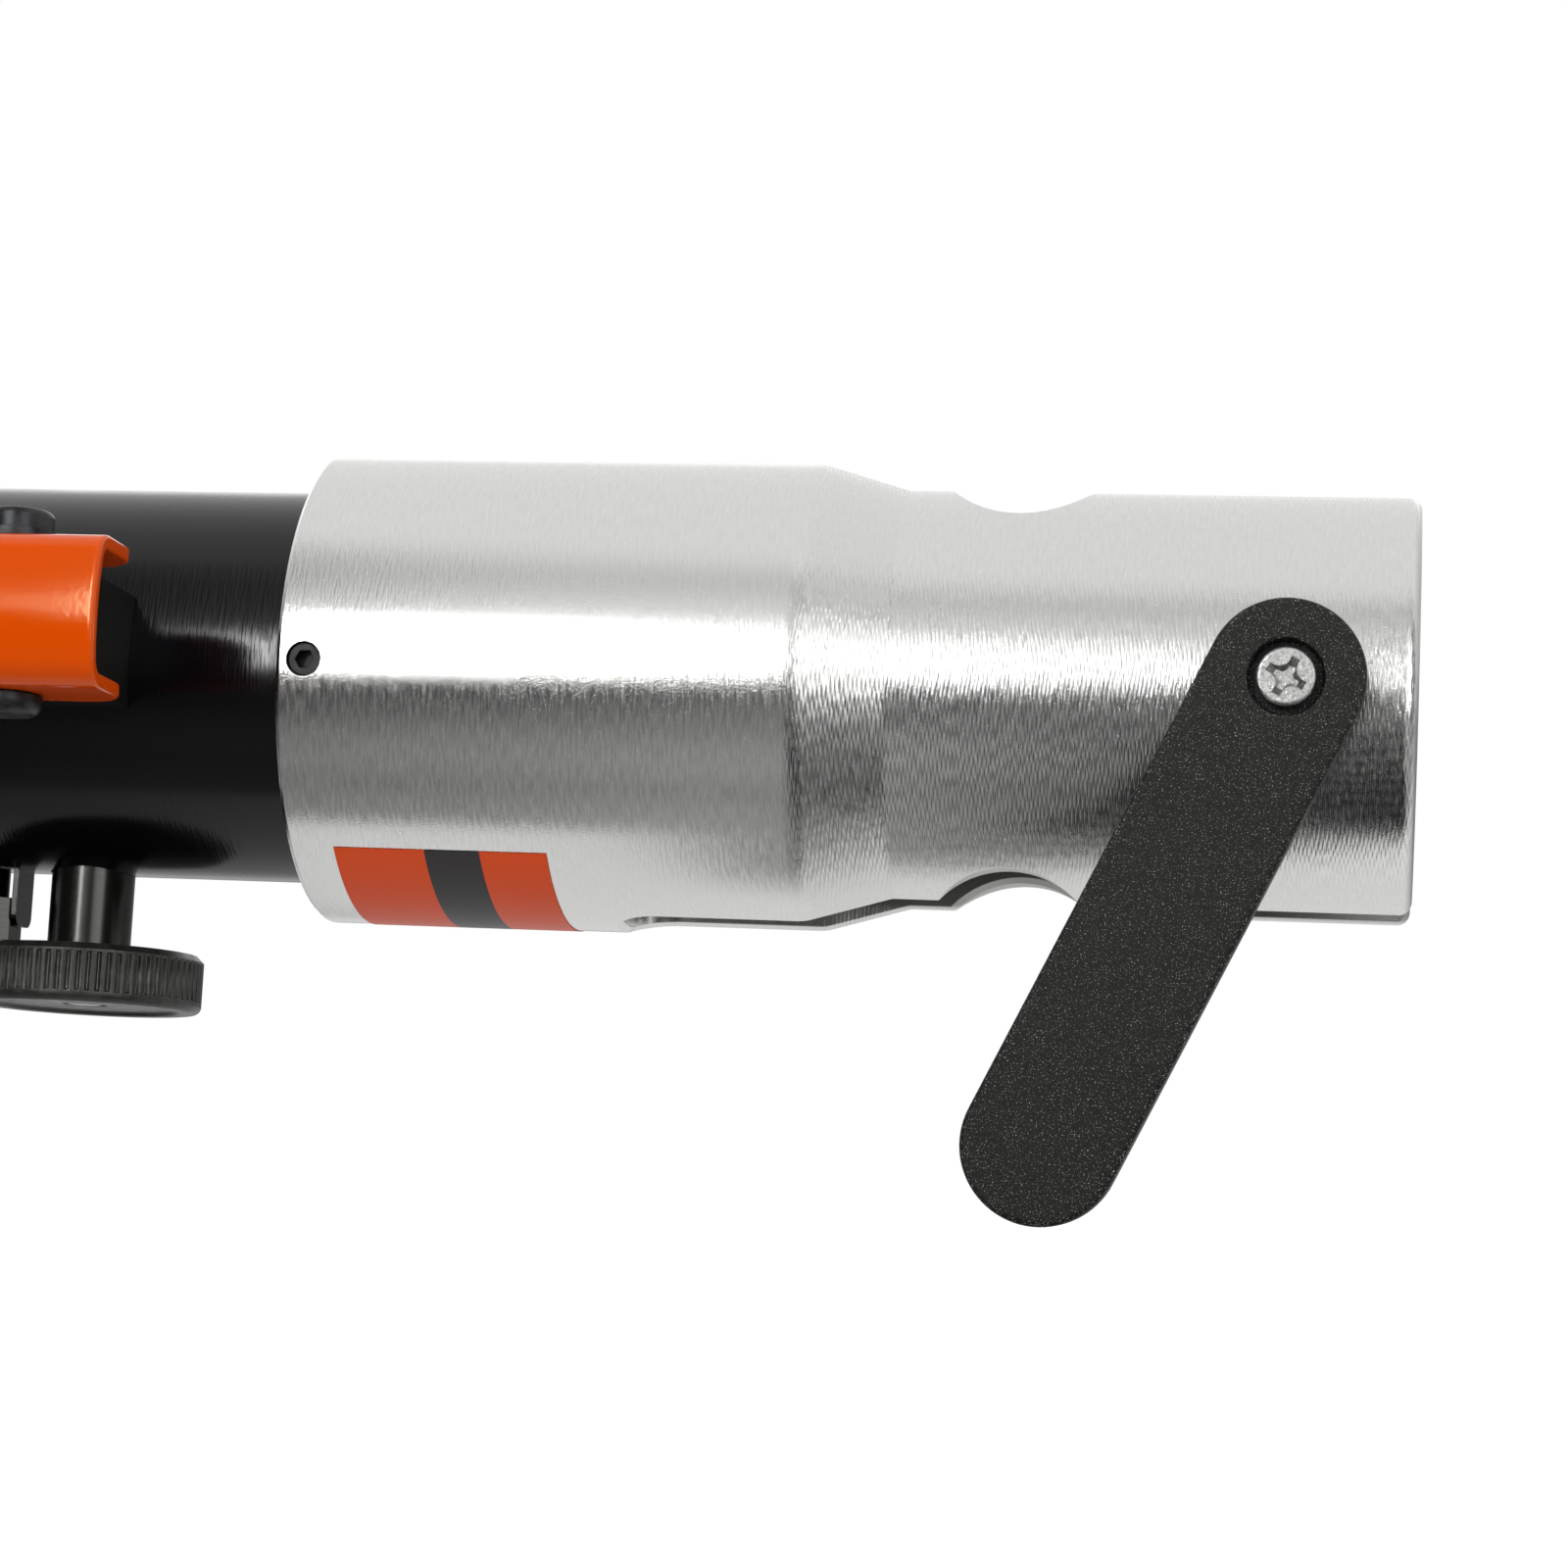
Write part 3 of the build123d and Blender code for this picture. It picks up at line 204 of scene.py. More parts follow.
def make_piece(
    name: str, bm: bmesh.types.BMesh, place: Matrix | None = None, sharp: float = 38.0
) -> bpy.types.Object:
    """Makes a scene object of a mesh that was drawn in millimetres.

    Args:
        name: the piece's name.
        bm: the mesh, which is used up.
        place: where it goes, in millimetres.
        sharp: the angle in degrees from which an edge stays sharp.

    Returns:
        The new object, with its place in its mesh.
    """
    bmesh.ops.remove_doubles(bm, verts=bm.verts, dist=SAME_POINT)
    bmesh.ops.recalc_face_normals(bm, faces=bm.faces)
    bm.transform(Matrix.Scale(MM, 4) @ (place or Matrix.Identity(4)))
    piece = link_mesh(name, bm)
    piece.data.shade_smooth()
    piece.data.set_sharp_from_angle(angle=radians(sharp))
    return piece


def stand(origin: Sequence[float], u: Sequence[float], w: Sequence[float]) -> Matrix:
    """Gives the place of a piece that is drawn with its own axes u, v and w.

    Args:
        origin: where its origin goes, in millimetres.
        u: the direction of its first axis.
        w: the direction of its third axis.

    Returns:
        The matrix from the piece's axes to the tool's.
    """
    first, third = Vector(u).normalized(), Vector(w).normalized()
    turned = Matrix((first, third.cross(first), third)).transposed()
    return Matrix.Translation(origin) @ turned.to_4x4()


def circle(radius: float, count: int = 96) -> list[Point]:
    """Gives points round a circle."""
    angles = [2 * pi * i / count for i in range(count)]
    return [(radius * cos(a), radius * sin(a)) for a in angles]


def stadium(length: float, radius: float, steps: int = 40) -> list[Point]:
    """Gives points round a bar with round ends.

    Args:
        length: how far its ends' centres are apart, the first one at 0.
        radius: the ends' radius.
        steps: how many steps each end has.

    Returns:
        The points, in order.
    """
    angles = [pi * i / steps - pi / 2 for i in range(steps + 1)]
    far = [(length + radius * cos(a), radius * sin(a)) for a in angles]
    near = [(-radius * cos(a), -radius * sin(a)) for a in angles]
    return far + near


def shifted(points: Iterable[Point], u: float, v: float) -> list[Point]:
    """Moves an outline by u and v."""
    return [(p + u, q + v) for p, q in points]


def fillet_arc(radius: float, steps: int = 5) -> list[Point]:
    """Gives a rounded edge as (inset, drop) pairs, from the flat face out to the side."""
    angles = [pi / 2 * i / steps for i in range(steps + 1)]
    return [(radius * (1 - sin(a)), radius * (1 - cos(a))) for a in angles]


def rounded_side(
    low: float, high: float, low_radius: float, high_radius: float, steps: int = 5
) -> list[Point]:
    """Gives the side of a plate with rounded edges.

    Args:
        low: the height of its lower face.
        high: the height of its upper face.
        low_radius: the rounding at the lower face.
        high_radius: the rounding at the upper face.
        steps: how many steps each rounding has.

    Returns:
        Pairs of inset and height, from the lower face to the upper one, with a narrow flat at each end.
    """
    lower = [(inset, low + drop) for inset, drop in fillet_arc(low_radius, steps)]
    upper = [(inset, high - drop) for inset, drop in reversed(fillet_arc(high_radius, steps))]
    return [(low_radius + FLAT_RIM, low), *lower, *upper, (high_radius + FLAT_RIM, high)]


def wall(bm: bmesh.types.BMesh, outline: Outline, side: Sequence[Point]) -> tuple[Loop, Loop]:
    """Raises a wall on an outline.

    Args:
        bm: the mesh that gets the faces.
        outline: gives the outline at an inset.
        side: pairs of inset and height.

    Returns:
        The vertices of the wall's first ring and of its last one.
    """
    rings = [[Vector((u, v, height)) for u, v in outline(inset)] for inset, height in side]
    loops = skin(bm, rings)
    return loops[0], loops[-1]


def lathe(
    bm: bmesh.types.BMesh,
    profile: Sequence[Point],
    count: int,
    cut: Callable[[int, float, float], float] | None = None,
    looped: bool = False,
) -> None:
    """Turns a profile round the piece's third axis.

    Args:
        bm: the mesh that gets the faces.
        profile: pairs of radius and height.
        count: how many points each ring has.
        cut: gives the radius at a point's number, for its radius and height on the profile.
        looped: whether the profile closes on itself.
    """
    rings = []
    for radius, height in profile:
        ring = []
        for i in range(count):
            reach = cut(i, radius, height) if cut else radius
            angle = 2 * pi * i / count
            ring.append(Vector((reach * cos(angle), reach * sin(angle), height)))
        rings.append(ring)
    skin(bm, rings, looped)


# Finishes


def blank_tree(block: bpy.types.Material | bpy.types.World) -> Tree:
    """Turns a block's nodes on and gives its tree, emptied."""
    block.use_nodes = True
    block.node_tree.nodes.clear()
    return block.node_tree


def edge_wear(tree: Tree, place: Socket, width_mm: float, chips_per_mm: float) -> Socket:
    """Finds the edges that wear first, broken up into chips.

    Args:
        tree: the node tree that gets the nodes.
        place: the point on the piece, in millimetres.
        width_mm: how far the wear reaches from an edge.
        chips_per_mm: how fine the chips are.

    Returns:
        A socket that gives 1 where the finish is worn off and 0 where it is whole.
    """
    wide = add_node(tree, "Bevel", {"Radius": width_mm * MM}, samples=6)["Normal"]
    flat = add_node(tree, "NewGeometry")["Normal"]
    agree = add_node(tree, "VectorMath", {0: wide, 1: flat}, operation="DOT_PRODUCT")["Value"]
    chips = add_node(tree, "TexNoise", {"Vector": place, "Scale": chips_per_mm, "Detail": 4.0})[0]
    ragged = add_node(tree, "Math", {0: chips, 1: CHIP_DEPTH, 2: agree}, operation="MULTIPLY_ADD")[0]
    return add_node(tree, "MapRange", {
        "Value": ragged, "From Min": WORN_BELOW, "From Max": 1.0, "To Min": 1.0, "To Max": 0.0,
    })[0]


@dataclass(frozen=True)
class Finish(ABC):
    """A surface as it was made: its colour, its gloss and the marks it carries."""

    name: str
    slot: str
    colour: str
    roughness: float
    metallic: float = 0.0
    specular: float = 0.5
    relief_mm: float = 0.03
    edge_mm: float = 0.25

    @cache
    def material(self) -> bpy.types.Material:
        """Makes the material the first time and gives the same one again later.

        Returns:
            The material with its whole node tree.
        """
        made = bpy.data.materials.new(self.name)
        tree = blank_tree(made)
        spot = add_node(tree, "TexCoord")["Object"]
        place = add_node(tree, "VectorMath", {0: spot, "Scale": 1 / MM}, operation="SCALE")["Vector"]
        height, changes = self.dress(tree, place)
        edge = add_node(tree, "Bevel", {"Radius": self.edge_mm * MM}, samples=4)["Normal"]
        bump = add_node(tree, "Bump", {
            "Strength": 1.0, "Distance": self.relief_mm * MM, "Height": height, "Normal": edge,
        })[0]
        shader = add_node(tree, "BsdfPrincipled", {
            "Base Color": srgb(self.colour),
            "Roughness": self.roughness,
            "Metallic": self.metallic,
            "Specular IOR Level": self.specular,
            "Normal": bump,
            **changes,
        })
        add_node(tree, "OutputMaterial", {"Surface": shader["BSDF"]})
        return made

    def gloss(self, tree: Tree, marks: Socket, spread: Point, span: Point = NOISE_SPAN) -> Socket:
        """Lets the roughness follow the marks.

        Args:
            tree: the material's node tree.
            marks: the noise that it follows.
            spread: what the lowest and the highest marks add to the roughness.
            span: the noise's level at the lowest and at the highest marks.

        Returns:
            The roughness.
        """
        return add_node(tree, "MapRange", {
            "Value": marks, "From Min": span[0], "From Max": span[1],
            "To Min": self.roughness + spread[0], "To Max": self.roughness + spread[1],
        })[0]

    @abstractmethod
    def dress(self, tree: Tree, place: Socket) -> Marks:
        """Adds the marks of this finish.

        Args:
            tree: the material's node tree.
            place: the point on the piece, in millimetres.

        Returns:
            The relief's height as a share of relief_mm, and the shader's inputs that the marks change.
        """


@dataclass(frozen=True)
class TurnedAluminium(Finish):
    """Aluminium bar turned on a lathe: bright, with feed rings that the tool's chatter breaks into dashes.

    On the underside the fine lines are painted paler and darker, and the dashes on the cone and the fork
    much more so: painted glints and painted shade that stand in for reflections. The rings are drawn a little
    coarser than the real feed of about 0.28 mm, to show in the render.
    """

    relief_mm: float = 0.045
    ring_mm: float = 0.36
    ring_height: float = 0.12
    ring_ends: Point = (1.0, 0.3)
    dash_mm: float = 4.4
    dash_shift: float = 0.5
    dash_jump: float = 0.3
    dash_sway: float = 1.4
    sways_per_mm: float = 0.09
    lines_per_mm: tuple[float, ...] = (2.0, 0.32, 1.0)
    line_height: float = 0.7
    crystals_per_mm: float = 4.0
    crystal_height: float = 0.5
    turn_radius: float = 40.0
    end_face: float = 0.8
    cone_front: float = -67.0
    cone_rear: float = -82.0
    cone_run_in: Point = (-1.5, 2.0)
    cone_run_out: float = 0.4
    cone_and_fork_depth: Point = (0.95, 0.38)
    # How strongly the dashes are painted as glints on the cone and on the fork, and the span and colour
    # factors of those painted glints.
    cone_and_fork_painted_glints: Point = (2.0, 1.0)
    painted_glint_span: float = 1.8
    painted_glint_factors: Point = (0.42, 1.7)
    plain_tone: Point = (0.96, 1.03)
    # Colour factors of the painted shade and glints along the lines on the underside, and the angles round
    # the bar where that painted light fades in.
    painted_underside_tone: Point = (0.84, 1.14)
    painted_fade_top: Point = (0.14, -0.07)
    painted_fade_bottom: Point = (-1.0, -0.5)
    gloss_spread: Point = (-0.06, 0.08)
    coarse_depth: Point = (0.6, 0.85)
    coarse_roughness: float = 0.14
    outer_radius: float = 38.1
    outer_blend: float = 0.9
    milled: str = "#9C9C9A"
    milled_roughness: float = 0.4
    stretch: float = 0.6
    stretch_turn: float = 0.25

    def dress(self, tree: Tree, place: Socket) -> Marks:
        """Adds feed rings, chatter dashes and a fine grain, and paints glints and shade along them on the
        underside.

        Args:
            tree: the material's node tree.
            place: the point on the piece, in millimetres.

        Returns:
            The relief's height and the shader's changed inputs.
        """
        axes = add_node(tree, "SeparateXYZ", {0: place})
        across = add_node(tree, "CombineXYZ", {"Y": axes["Y"], "Z": axes["Z"]})[0]
        radius = add_node(tree, "VectorMath", {0: across}, operation="LENGTH")["Value"]
        away = add_node(tree, "Math", {0: axes["Y"], 1: -1.0}, operation="MULTIPLY")[0]
        angle = add_node(tree, "Math", {0: axes["Z"], 1: away}, operation="ARCTAN2")[0]
        arc = add_node(tree, "Math", {0: angle, 1: self.turn_radius}, operation="MULTIPLY")[0]
        normal = add_node(tree, "TexCoord")["Normal"]
        facing = add_node(tree, "SeparateXYZ", {0: normal})["X"]
        end_on = add_node(tree, "Math", {0: facing}, operation="ABSOLUTE")[0]
        face = add_node(tree, "Math", {0: end_on, 1: self.end_face}, operation="GREATER_THAN")[0]
        feed = add_node(tree, "Math", {0: radius, 1: face, 2: axes["X"]}, operation="MULTIPLY_ADD")[0]
        outside = add_node(tree, "MapRange", {
            "Value": radius, "From Min": self.outer_radius - self.outer_blend, "From Max": self.outer_radius,
        })[0]

        chatter = self.chatter(tree, place, feed, arc)
        into_cone = add_node(tree, "MapRange", {
            "Value": axes["X"],
            "From Min": self.cone_rear + self.cone_run_in[0],
            "From Max": self.cone_rear + self.cone_run_in[1],
        })[0]
        depth = self.cone_or_fork(tree, axes["X"], self.cone_and_fork_depth)
        level = add_node(tree, "Math", {0: into_cone, 1: depth}, operation="MULTIPLY")[0]
        turned = add_node(tree, "Math", {0: level, 1: outside}, operation="MULTIPLY")[0]
        dashes = add_node(tree, "Math", {0: chatter, 1: turned}, operation="MULTIPLY")[0]

        lay = add_node(tree, "CombineXYZ", {"X": feed, "Y": arc})[0]
        drawn = add_node(tree, "VectorMath", {0: lay, 1: self.lines_per_mm}, operation="MULTIPLY")[0]
        lines = add_node(tree, "TexNoise", {"Vector": drawn, "Scale": 1.0, "Detail": 2.0})[0]
        crystal = add_node(tree, "TexNoise", {
            "Vector": place, "Scale": self.crystals_per_mm, "Detail": 1.0,
        })[0]
        lined = add_node(tree, "Math", {
            0: lines, 1: self.line_height, 2: dashes,
        }, operation="MULTIPLY_ADD")[0]
        height = add_node(tree, "Math", {
            0: crystal, 1: self.crystal_height, 2: lined,
        }, operation="MULTIPLY_ADD")[0]

        # Painted glints: the dashes are painted paler and darker into the colour, more strongly on the cone
        # than on the fork.
        painted_flash = self.cone_or_fork(tree, axes["X"], self.cone_and_fork_painted_glints)
        painted_glints = add_node(tree, "Math", {0: chatter, 1: painted_flash}, operation="MULTIPLY")[0]
        reach = add_node(tree, "Math", {0: into_cone, 1: outside}, operation="MULTIPLY")[0]
        # The colour takes painted glints and painted shade on the underside, along with the metal's own faint
        # tone.
        tone = self.tone(tree, lines, painted_glints, reach, angle)
        milled = add_node(tree, "Mix", {
            0: outside, 6: srgb(self.milled), 7: srgb(self.colour),
        }, data_type="RGBA")[2]
        colour = add_node(tree, "VectorMath", {0: milled, "Scale": tone}, operation="SCALE")[0]

        coarse = add_node(tree, "MapRange", {
            "Value": level, "From Min": self.coarse_depth[0], "From Max": self.coarse_depth[1],
            "To Max": self.coarse_roughness,
        })[0]
        gloss = self.gloss(tree, lines, self.gloss_spread)
        rougher = add_node(tree, "Math", {0: gloss, 1: coarse}, operation="ADD")[0]
        dulled = add_node(tree, "MapRange", {
            "Value": outside, "To Min": self.milled_roughness, "To Max": rougher,
        })[0]
        return height, {
            "Base Color": colour,
            "Roughness": dulled,
            "Tangent": add_node(tree, "Tangent", direction_type="RADIAL", axis="X")[0],
            "Anisotropic": self.stretch,
            "Anisotropic Rotation": self.stretch_turn,
        }

    def chatter(self, tree: Tree, place: Socket, feed: Socket, arc: Socket) -> Socket:
        """Adds the feed rings and the dashes in them, which stand half a dash apart from ring to ring.

        Args:
            tree: the material's node tree.
            place: the point on the piece, in millimetres.
            feed: how far the cutting tool has come along the bar, or across its end.
            arc: how far the bar has turned, in millimetres on its rim.

        Returns:
            The height of the marks, from about -1 to 1.
        """
        turns = add_node(tree, "Math", {0: feed, 1: self.ring_mm}, operation="DIVIDE")[0]
        number = add_node(tree, "Math", {0: turns}, operation="FLOOR")[0]
        ring_angle = add_node(tree, "Math", {0: turns, 1: 2 * pi}, operation="MULTIPLY")[0]
        ring = add_node(tree, "Math", {0: ring_angle}, operation="COSINE")[0]
        jump = add_node(tree, "TexWhiteNoise", {"W": number}, noise_dimensions="1D")["Value"]
        sway = add_node(tree, "TexNoise", {"Vector": place, "Scale": self.sways_per_mm, "Detail": 1.0})[0]
        phase = add_node(tree, "Math", {0: arc, 1: self.dash_mm}, operation="DIVIDE")[0]
        for cause, share in ((number, self.dash_shift), (jump, self.dash_jump), (sway, self.dash_sway)):
            phase = add_node(tree, "Math", {0: cause, 1: share, 2: phase}, operation="MULTIPLY_ADD")[0]
        dash_angle = add_node(tree, "Math", {0: phase, 1: 2 * pi}, operation="MULTIPLY")[0]
        dash = add_node(tree, "Math", {0: dash_angle}, operation="SINE")[0]
        swell = add_node(tree, "MapRange", {
            "Value": ring, "From Min": -1.0, "To Min": self.ring_ends[0], "To Max": self.ring_ends[1],
        })[0]
        broken = add_node(tree, "Math", {0: dash, 1: swell}, operation="MULTIPLY")[0]
        return add_node(tree, "Math", {
            0: ring, 1: self.ring_height, 2: broken,
        }, operation="MULTIPLY_ADD")[0]

    def cone_or_fork(self, tree: Tree, along: Socket, values: Point) -> Socket:
        """Gives one value behind the cone's front edge and another one on the fork before it.

        Args:
            tree: the material's node tree.
            along: the place along the bar.
            values: the cone's value and the fork's.

        Returns:
            The value at that place.
        """
        return add_node(tree, "MapRange", {
            "Value": along, "From Min": self.cone_front, "From Max": self.cone_front + self.cone_run_out,
            "To Min": values[0], "To Max": values[1],
        })[0]

    def tone(self, tree: Tree, lines: Socket, painted_glints: Socket, reach: Socket, angle: Socket) -> Socket:
        """Paints the metal paler and darker along the marks, mostly on the underside: painted glints and
        painted shade that stand in for reflections.

        Args:
            tree: the material's node tree.
            lines: the fine feed lines.
            painted_glints: the dashes.
            reach: where the dashes are, from 0 to 1.
            angle: the angle round the bar, up from its front.

        Returns:
            What the metal's colour is multiplied by.
        """
        faint, lines_with_painted_shade = (
            add_node(tree, "MapRange", {
                "Value": lines, "From Min": NOISE_SPAN[0], "From Max": NOISE_SPAN[1],
                "To Min": low, "To Max": high,
            })[0]
            for low, high in (self.plain_tone, self.painted_underside_tone)
        )
        painted_flash = add_node(tree, "MapRange", {
            "Value": painted_glints, "From Min": -self.painted_glint_span, "From Max": self.painted_glint_span,
            "To Min": self.painted_glint_factors[0], "To Max": self.painted_glint_factors[1],
        })[0]
        with_painted_flash = add_node(tree, "Math", {0: lines_with_painted_shade, 1: painted_flash}, operation="MULTIPLY")[0]
        painted_glint_tone = add_node(tree, "Mix", {0: reach, 2: lines_with_painted_shade, 3: with_painted_flash}, data_type="FLOAT")[0]
        # The painted glints and shade are kept to the underside, below the highlight.
        below, above = (
            add_node(tree, "MapRange", {"Value": angle, "From Min": start, "From Max": end})[0]
            for start, end in (self.painted_fade_top, self.painted_fade_bottom)
        )
        painted_underside = add_node(tree, "Math", {0: below, 1: above}, operation="MULTIPLY")[0]
        return add_node(tree, "Mix", {0: painted_underside, 2: faint, 3: painted_glint_tone}, data_type="FLOAT")[0]


@dataclass(frozen=True)
class GlossBlack(Finish):
    """Gloss black paint over turned steel: deep black, with the turning rings showing in its highlights.

    The rings are drawn coarser than a usual feed of about 0.2 mm, to show in the render.
    """

    relief_mm: float = 0.034
    ring_mm: float = 0.45
    round_per_mm: float = 0.2
    clouds_per_mm: float = 0.06
    gloss_spread: Point = (-0.05, 0.07)

    def dress(self, tree: Tree, place: Socket) -> Marks:
        """Adds faint rings and a cloudy gloss.

        Args:
            tree: the material's node tree.
            place: the point on the piece, in millimetres.

        Returns:
            The relief's height and the shader's changed inputs.
        """
        stretch = (1 / self.ring_mm, self.round_per_mm, self.round_per_mm)
        lay = add_node(tree, "VectorMath", {0: place, 1: stretch}, operation="MULTIPLY")[0]
        rings = add_node(tree, "TexNoise", {"Vector": lay, "Scale": 1.0, "Detail": 1.0})[0]
        cloud = add_node(tree, "TexNoise", {"Vector": place, "Scale": self.clouds_per_mm, "Detail": 3.0})[0]
        return rings, {"Roughness": self.gloss(tree, cloud, self.gloss_spread, (0.0, 1.0))}


@dataclass(frozen=True)
class PowderCoat(Finish):
    """Baked fine-texture powder coat: matt, with pale pin points painted into its colour as painted glints of
    its grains.
    """

    grain_mm: float = 0.25
    # The colour of the painted glints, and the grain levels over which they fade in.
    painted_glint_colour: str = "#D2D2C8"
    painted_speck_span: Point = (0.61, 0.75)

    def dress(self, tree: Tree, place: Socket) -> Marks:
        """Adds the grain and paints its highest points pale: painted glints.

        Args:
            tree: the material's node tree.
            place: the point on the piece, in millimetres.

        Returns:
            The relief's height and the shader's changed inputs.
        """
        grain = add_node(tree, "TexNoise", {
            "Vector": place, "Scale": 1 / self.grain_mm, "Detail": 2.0, "Roughness": 0.6,
        })[0]
        # The highest grains are painted pale: painted glints.
        painted_specks = add_node(tree, "MapRange", {
            "Value": grain, "From Min": self.painted_speck_span[0], "From Max": self.painted_speck_span[1],
        })[0]
        colour = add_node(tree, "Mix", {
            0: painted_specks, 6: srgb(self.colour), 7: srgb(self.painted_glint_colour),
        }, data_type="RGBA")[2]
        return grain, {"Base Color": colour}


@dataclass(frozen=True)
class Enamel(Finish):
    """Sprayed enamel on pressed steel: glossy, a little orange peel, thin and brown along the worn edges."""

    relief_mm: float = 0.009
    peels_per_mm: float = 0.9
    worn: str = "#8E3F12"
    wear_mm: float = 0.9
    chips_per_mm: float = 0.8
    reflection: str = "#FFF0BC"

    def dress(self, tree: Tree, place: Socket) -> Marks:
        """Adds orange peel, warm reflections and edge wear.

        Args:
            tree: the material's node tree.
            place: the point on the piece, in millimetres.

        Returns:
            The relief's height and the shader's changed inputs.
        """
        peel = add_node(tree, "TexNoise", {"Vector": place, "Scale": self.peels_per_mm, "Detail": 2.0})[0]
        wear = edge_wear(tree, place, self.wear_mm, self.chips_per_mm)
        colour = add_node(tree, "Mix", {
            0: wear, 6: srgb(self.colour), 7: srgb(self.worn),
        }, data_type="RGBA")[2]
        return peel, {"Base Color": colour, "Specular Tint": srgb(self.reflection)}


@dataclass(frozen=True)
class TreatedSteel(Finish):
    """Steel with a chemical finish (oxide, phosphate, zinc): the metal's sheen under a mottled skin.

    The skin's grain is drawn coarser than a usual one of less than 0.05 mm, to show in the render.
    """

    relief_mm: float = 0.004
    second: str = "#3A3B3D"
    patch_mm: float = 2.5
    patch_span: Point = (0.35, 0.65)
    grain_mm: float = 0.3
    gloss_spread: Point = (-0.06, 0.08)
    wear_mm: float = 0.0
    chips_per_mm: float = 1.3
    worn: str = "#A9A79F"

    def dress(self, tree: Tree, place: Socket) -> Marks:
        """Adds mottling, a fine grain and, where it is worn, bright points along the edges.

        Args:
            tree: the material's node tree.
            place: the point on the piece, in millimetres.

        Returns:
            The relief's height and the shader's changed inputs.
        """
        patches = add_node(tree, "TexNoise", {
            "Vector": place, "Scale": 1 / self.patch_mm, "Detail": 4.0, "Roughness": 0.6,
        })[0]
        spread = add_node(tree, "MapRange", {
            "Value": patches, "From Min": self.patch_span[0], "From Max": self.patch_span[1],
        })[0]
        colour = add_node(tree, "Mix", {
            0: spread, 6: srgb(self.colour), 7: srgb(self.second),
        }, data_type="RGBA")[2]
        if self.wear_mm:
            wear = edge_wear(tree, place, self.wear_mm, self.chips_per_mm)
            colour = add_node(tree, "Mix", {0: wear, 6: colour, 7: srgb(self.worn)}, data_type="RGBA")[2]
        grain = add_node(tree, "TexNoise", {"Vector": place, "Scale": 1 / self.grain_mm, "Detail": 1.0})[0]
        gloss = self.gloss(tree, patches, self.gloss_spread, self.patch_span)
        return grain, {"Base Color": colour, "Roughness": gloss}


@dataclass(frozen=True)
class GroundSteel(Finish):
    """Turned or cylindrically ground steel: a clear sheen, with fine rings across its length.

    The rings are drawn coarser than usual grinding marks of less than 0.05 mm, to show in the render.
    """

    relief_mm: float = 0.003
    lay: Lay = Lay.Y
    lay_mm: float = 0.25
    gloss_spread: Point = (-0.05, 0.08)

    def dress(self, tree: Tree, place: Socket) -> Marks:
        """Adds the rings across the feed.

        Args:
            tree: the material's node tree.
            place: the point on the piece, in millimetres.

        Returns:
            The relief's height and the shader's changed inputs.
        """
        along = add_node(tree, "SeparateXYZ", {0: place})[self.lay.value]
        line = add_node(tree, "CombineXYZ", {"X": along})[0]
        rings = add_node(tree, "TexNoise", {"Vector": line, "Scale": 1 / self.lay_mm, "Detail": 3.0})[0]
        return rings, {"Roughness": self.gloss(tree, rings, self.gloss_spread)}


@dataclass(frozen=True)
class MouldedRubber(Finish):
    """Moulded rubber: dull black, with the spark-eroded grain of its mould and grey dust on it.

    The grain is drawn coarser than a usual one of about 0.1 mm, to show in the render.
    """

    grain_mm: float = 0.5
    clouds_per_mm: float = 0.05
    dust: str = "#3B3B3A"
    dust_span: Point = (0.5, 0.8)
    dust_most: float = 0.5

    def dress(self, tree: Tree, place: Socket) -> Marks:
        """Adds the mould's grain and a little dust.

        Args:
            tree: the material's node tree.
            place: the point on the piece, in millimetres.

        Returns:
            The relief's height and the shader's changed inputs.
        """
        grain = add_node(tree, "TexNoise", {"Vector": place, "Scale": 1 / self.grain_mm, "Detail": 2.0})[0]
        cloud = add_node(tree, "TexNoise", {"Vector": place, "Scale": self.clouds_per_mm, "Detail": 5.0})[0]
        dusty = add_node(tree, "MapRange", {
            "Value": cloud, "From Min": self.dust_span[0], "From Max": self.dust_span[1],
            "To Max": self.dust_most,
        })[0]
        colour = add_node(tree, "Mix", {
            0: dusty, 6: srgb(self.colour), 7: srgb(self.dust),
        }, data_type="RGBA")[2]
        return grain, {"Base Color": colour}


@dataclass(frozen=True)
class PrintedVinyl(Finish):
    """Printed self-adhesive vinyl: satin, in flat bands of ink, with no words on it."""

    relief_mm: float = 0.02
    waves_per_mm: float = 0.25
    band: str = "#2E2B2C"
    band_front: float = -137.4
    band_rear: float = -147.2

    def dress(self, tree: Tree, place: Socket) -> Marks:
        """Adds the dark band across the label and the film's slight waviness.

        Args:
            tree: the material's node tree.
            place: the point on the piece, in millimetres.

        Returns:
            The relief's height and the shader's changed inputs.
        """
        along = add_node(tree, "SeparateXYZ", {0: place})["X"]
        middle = (self.band_front + self.band_rear) / 2
        half = (self.band_front - self.band_rear) / 2
        banded = add_node(tree, "Math", {0: along, 1: middle, 2: half}, operation="COMPARE")[0]
        waves = add_node(tree, "TexNoise", {"Vector": place, "Scale": self.waves_per_mm, "Detail": 2.0})[0]
        colour = add_node(tree, "Mix", {
            0: banded, 6: srgb(self.colour), 7: srgb(self.band),
        }, data_type="RGBA")[2]
        return waves, {"Base Color": colour}


# Bare turned aluminium: bright and streaky, with broken glints across the bar, partly painted into its colour
# on the underside as painted glints and shade.
HEAD_ALUMINIUM = TurnedAluminium("lathe_turned_aluminium", "turned_aluminium", "#D3D3D1", 0.17, 1.0)
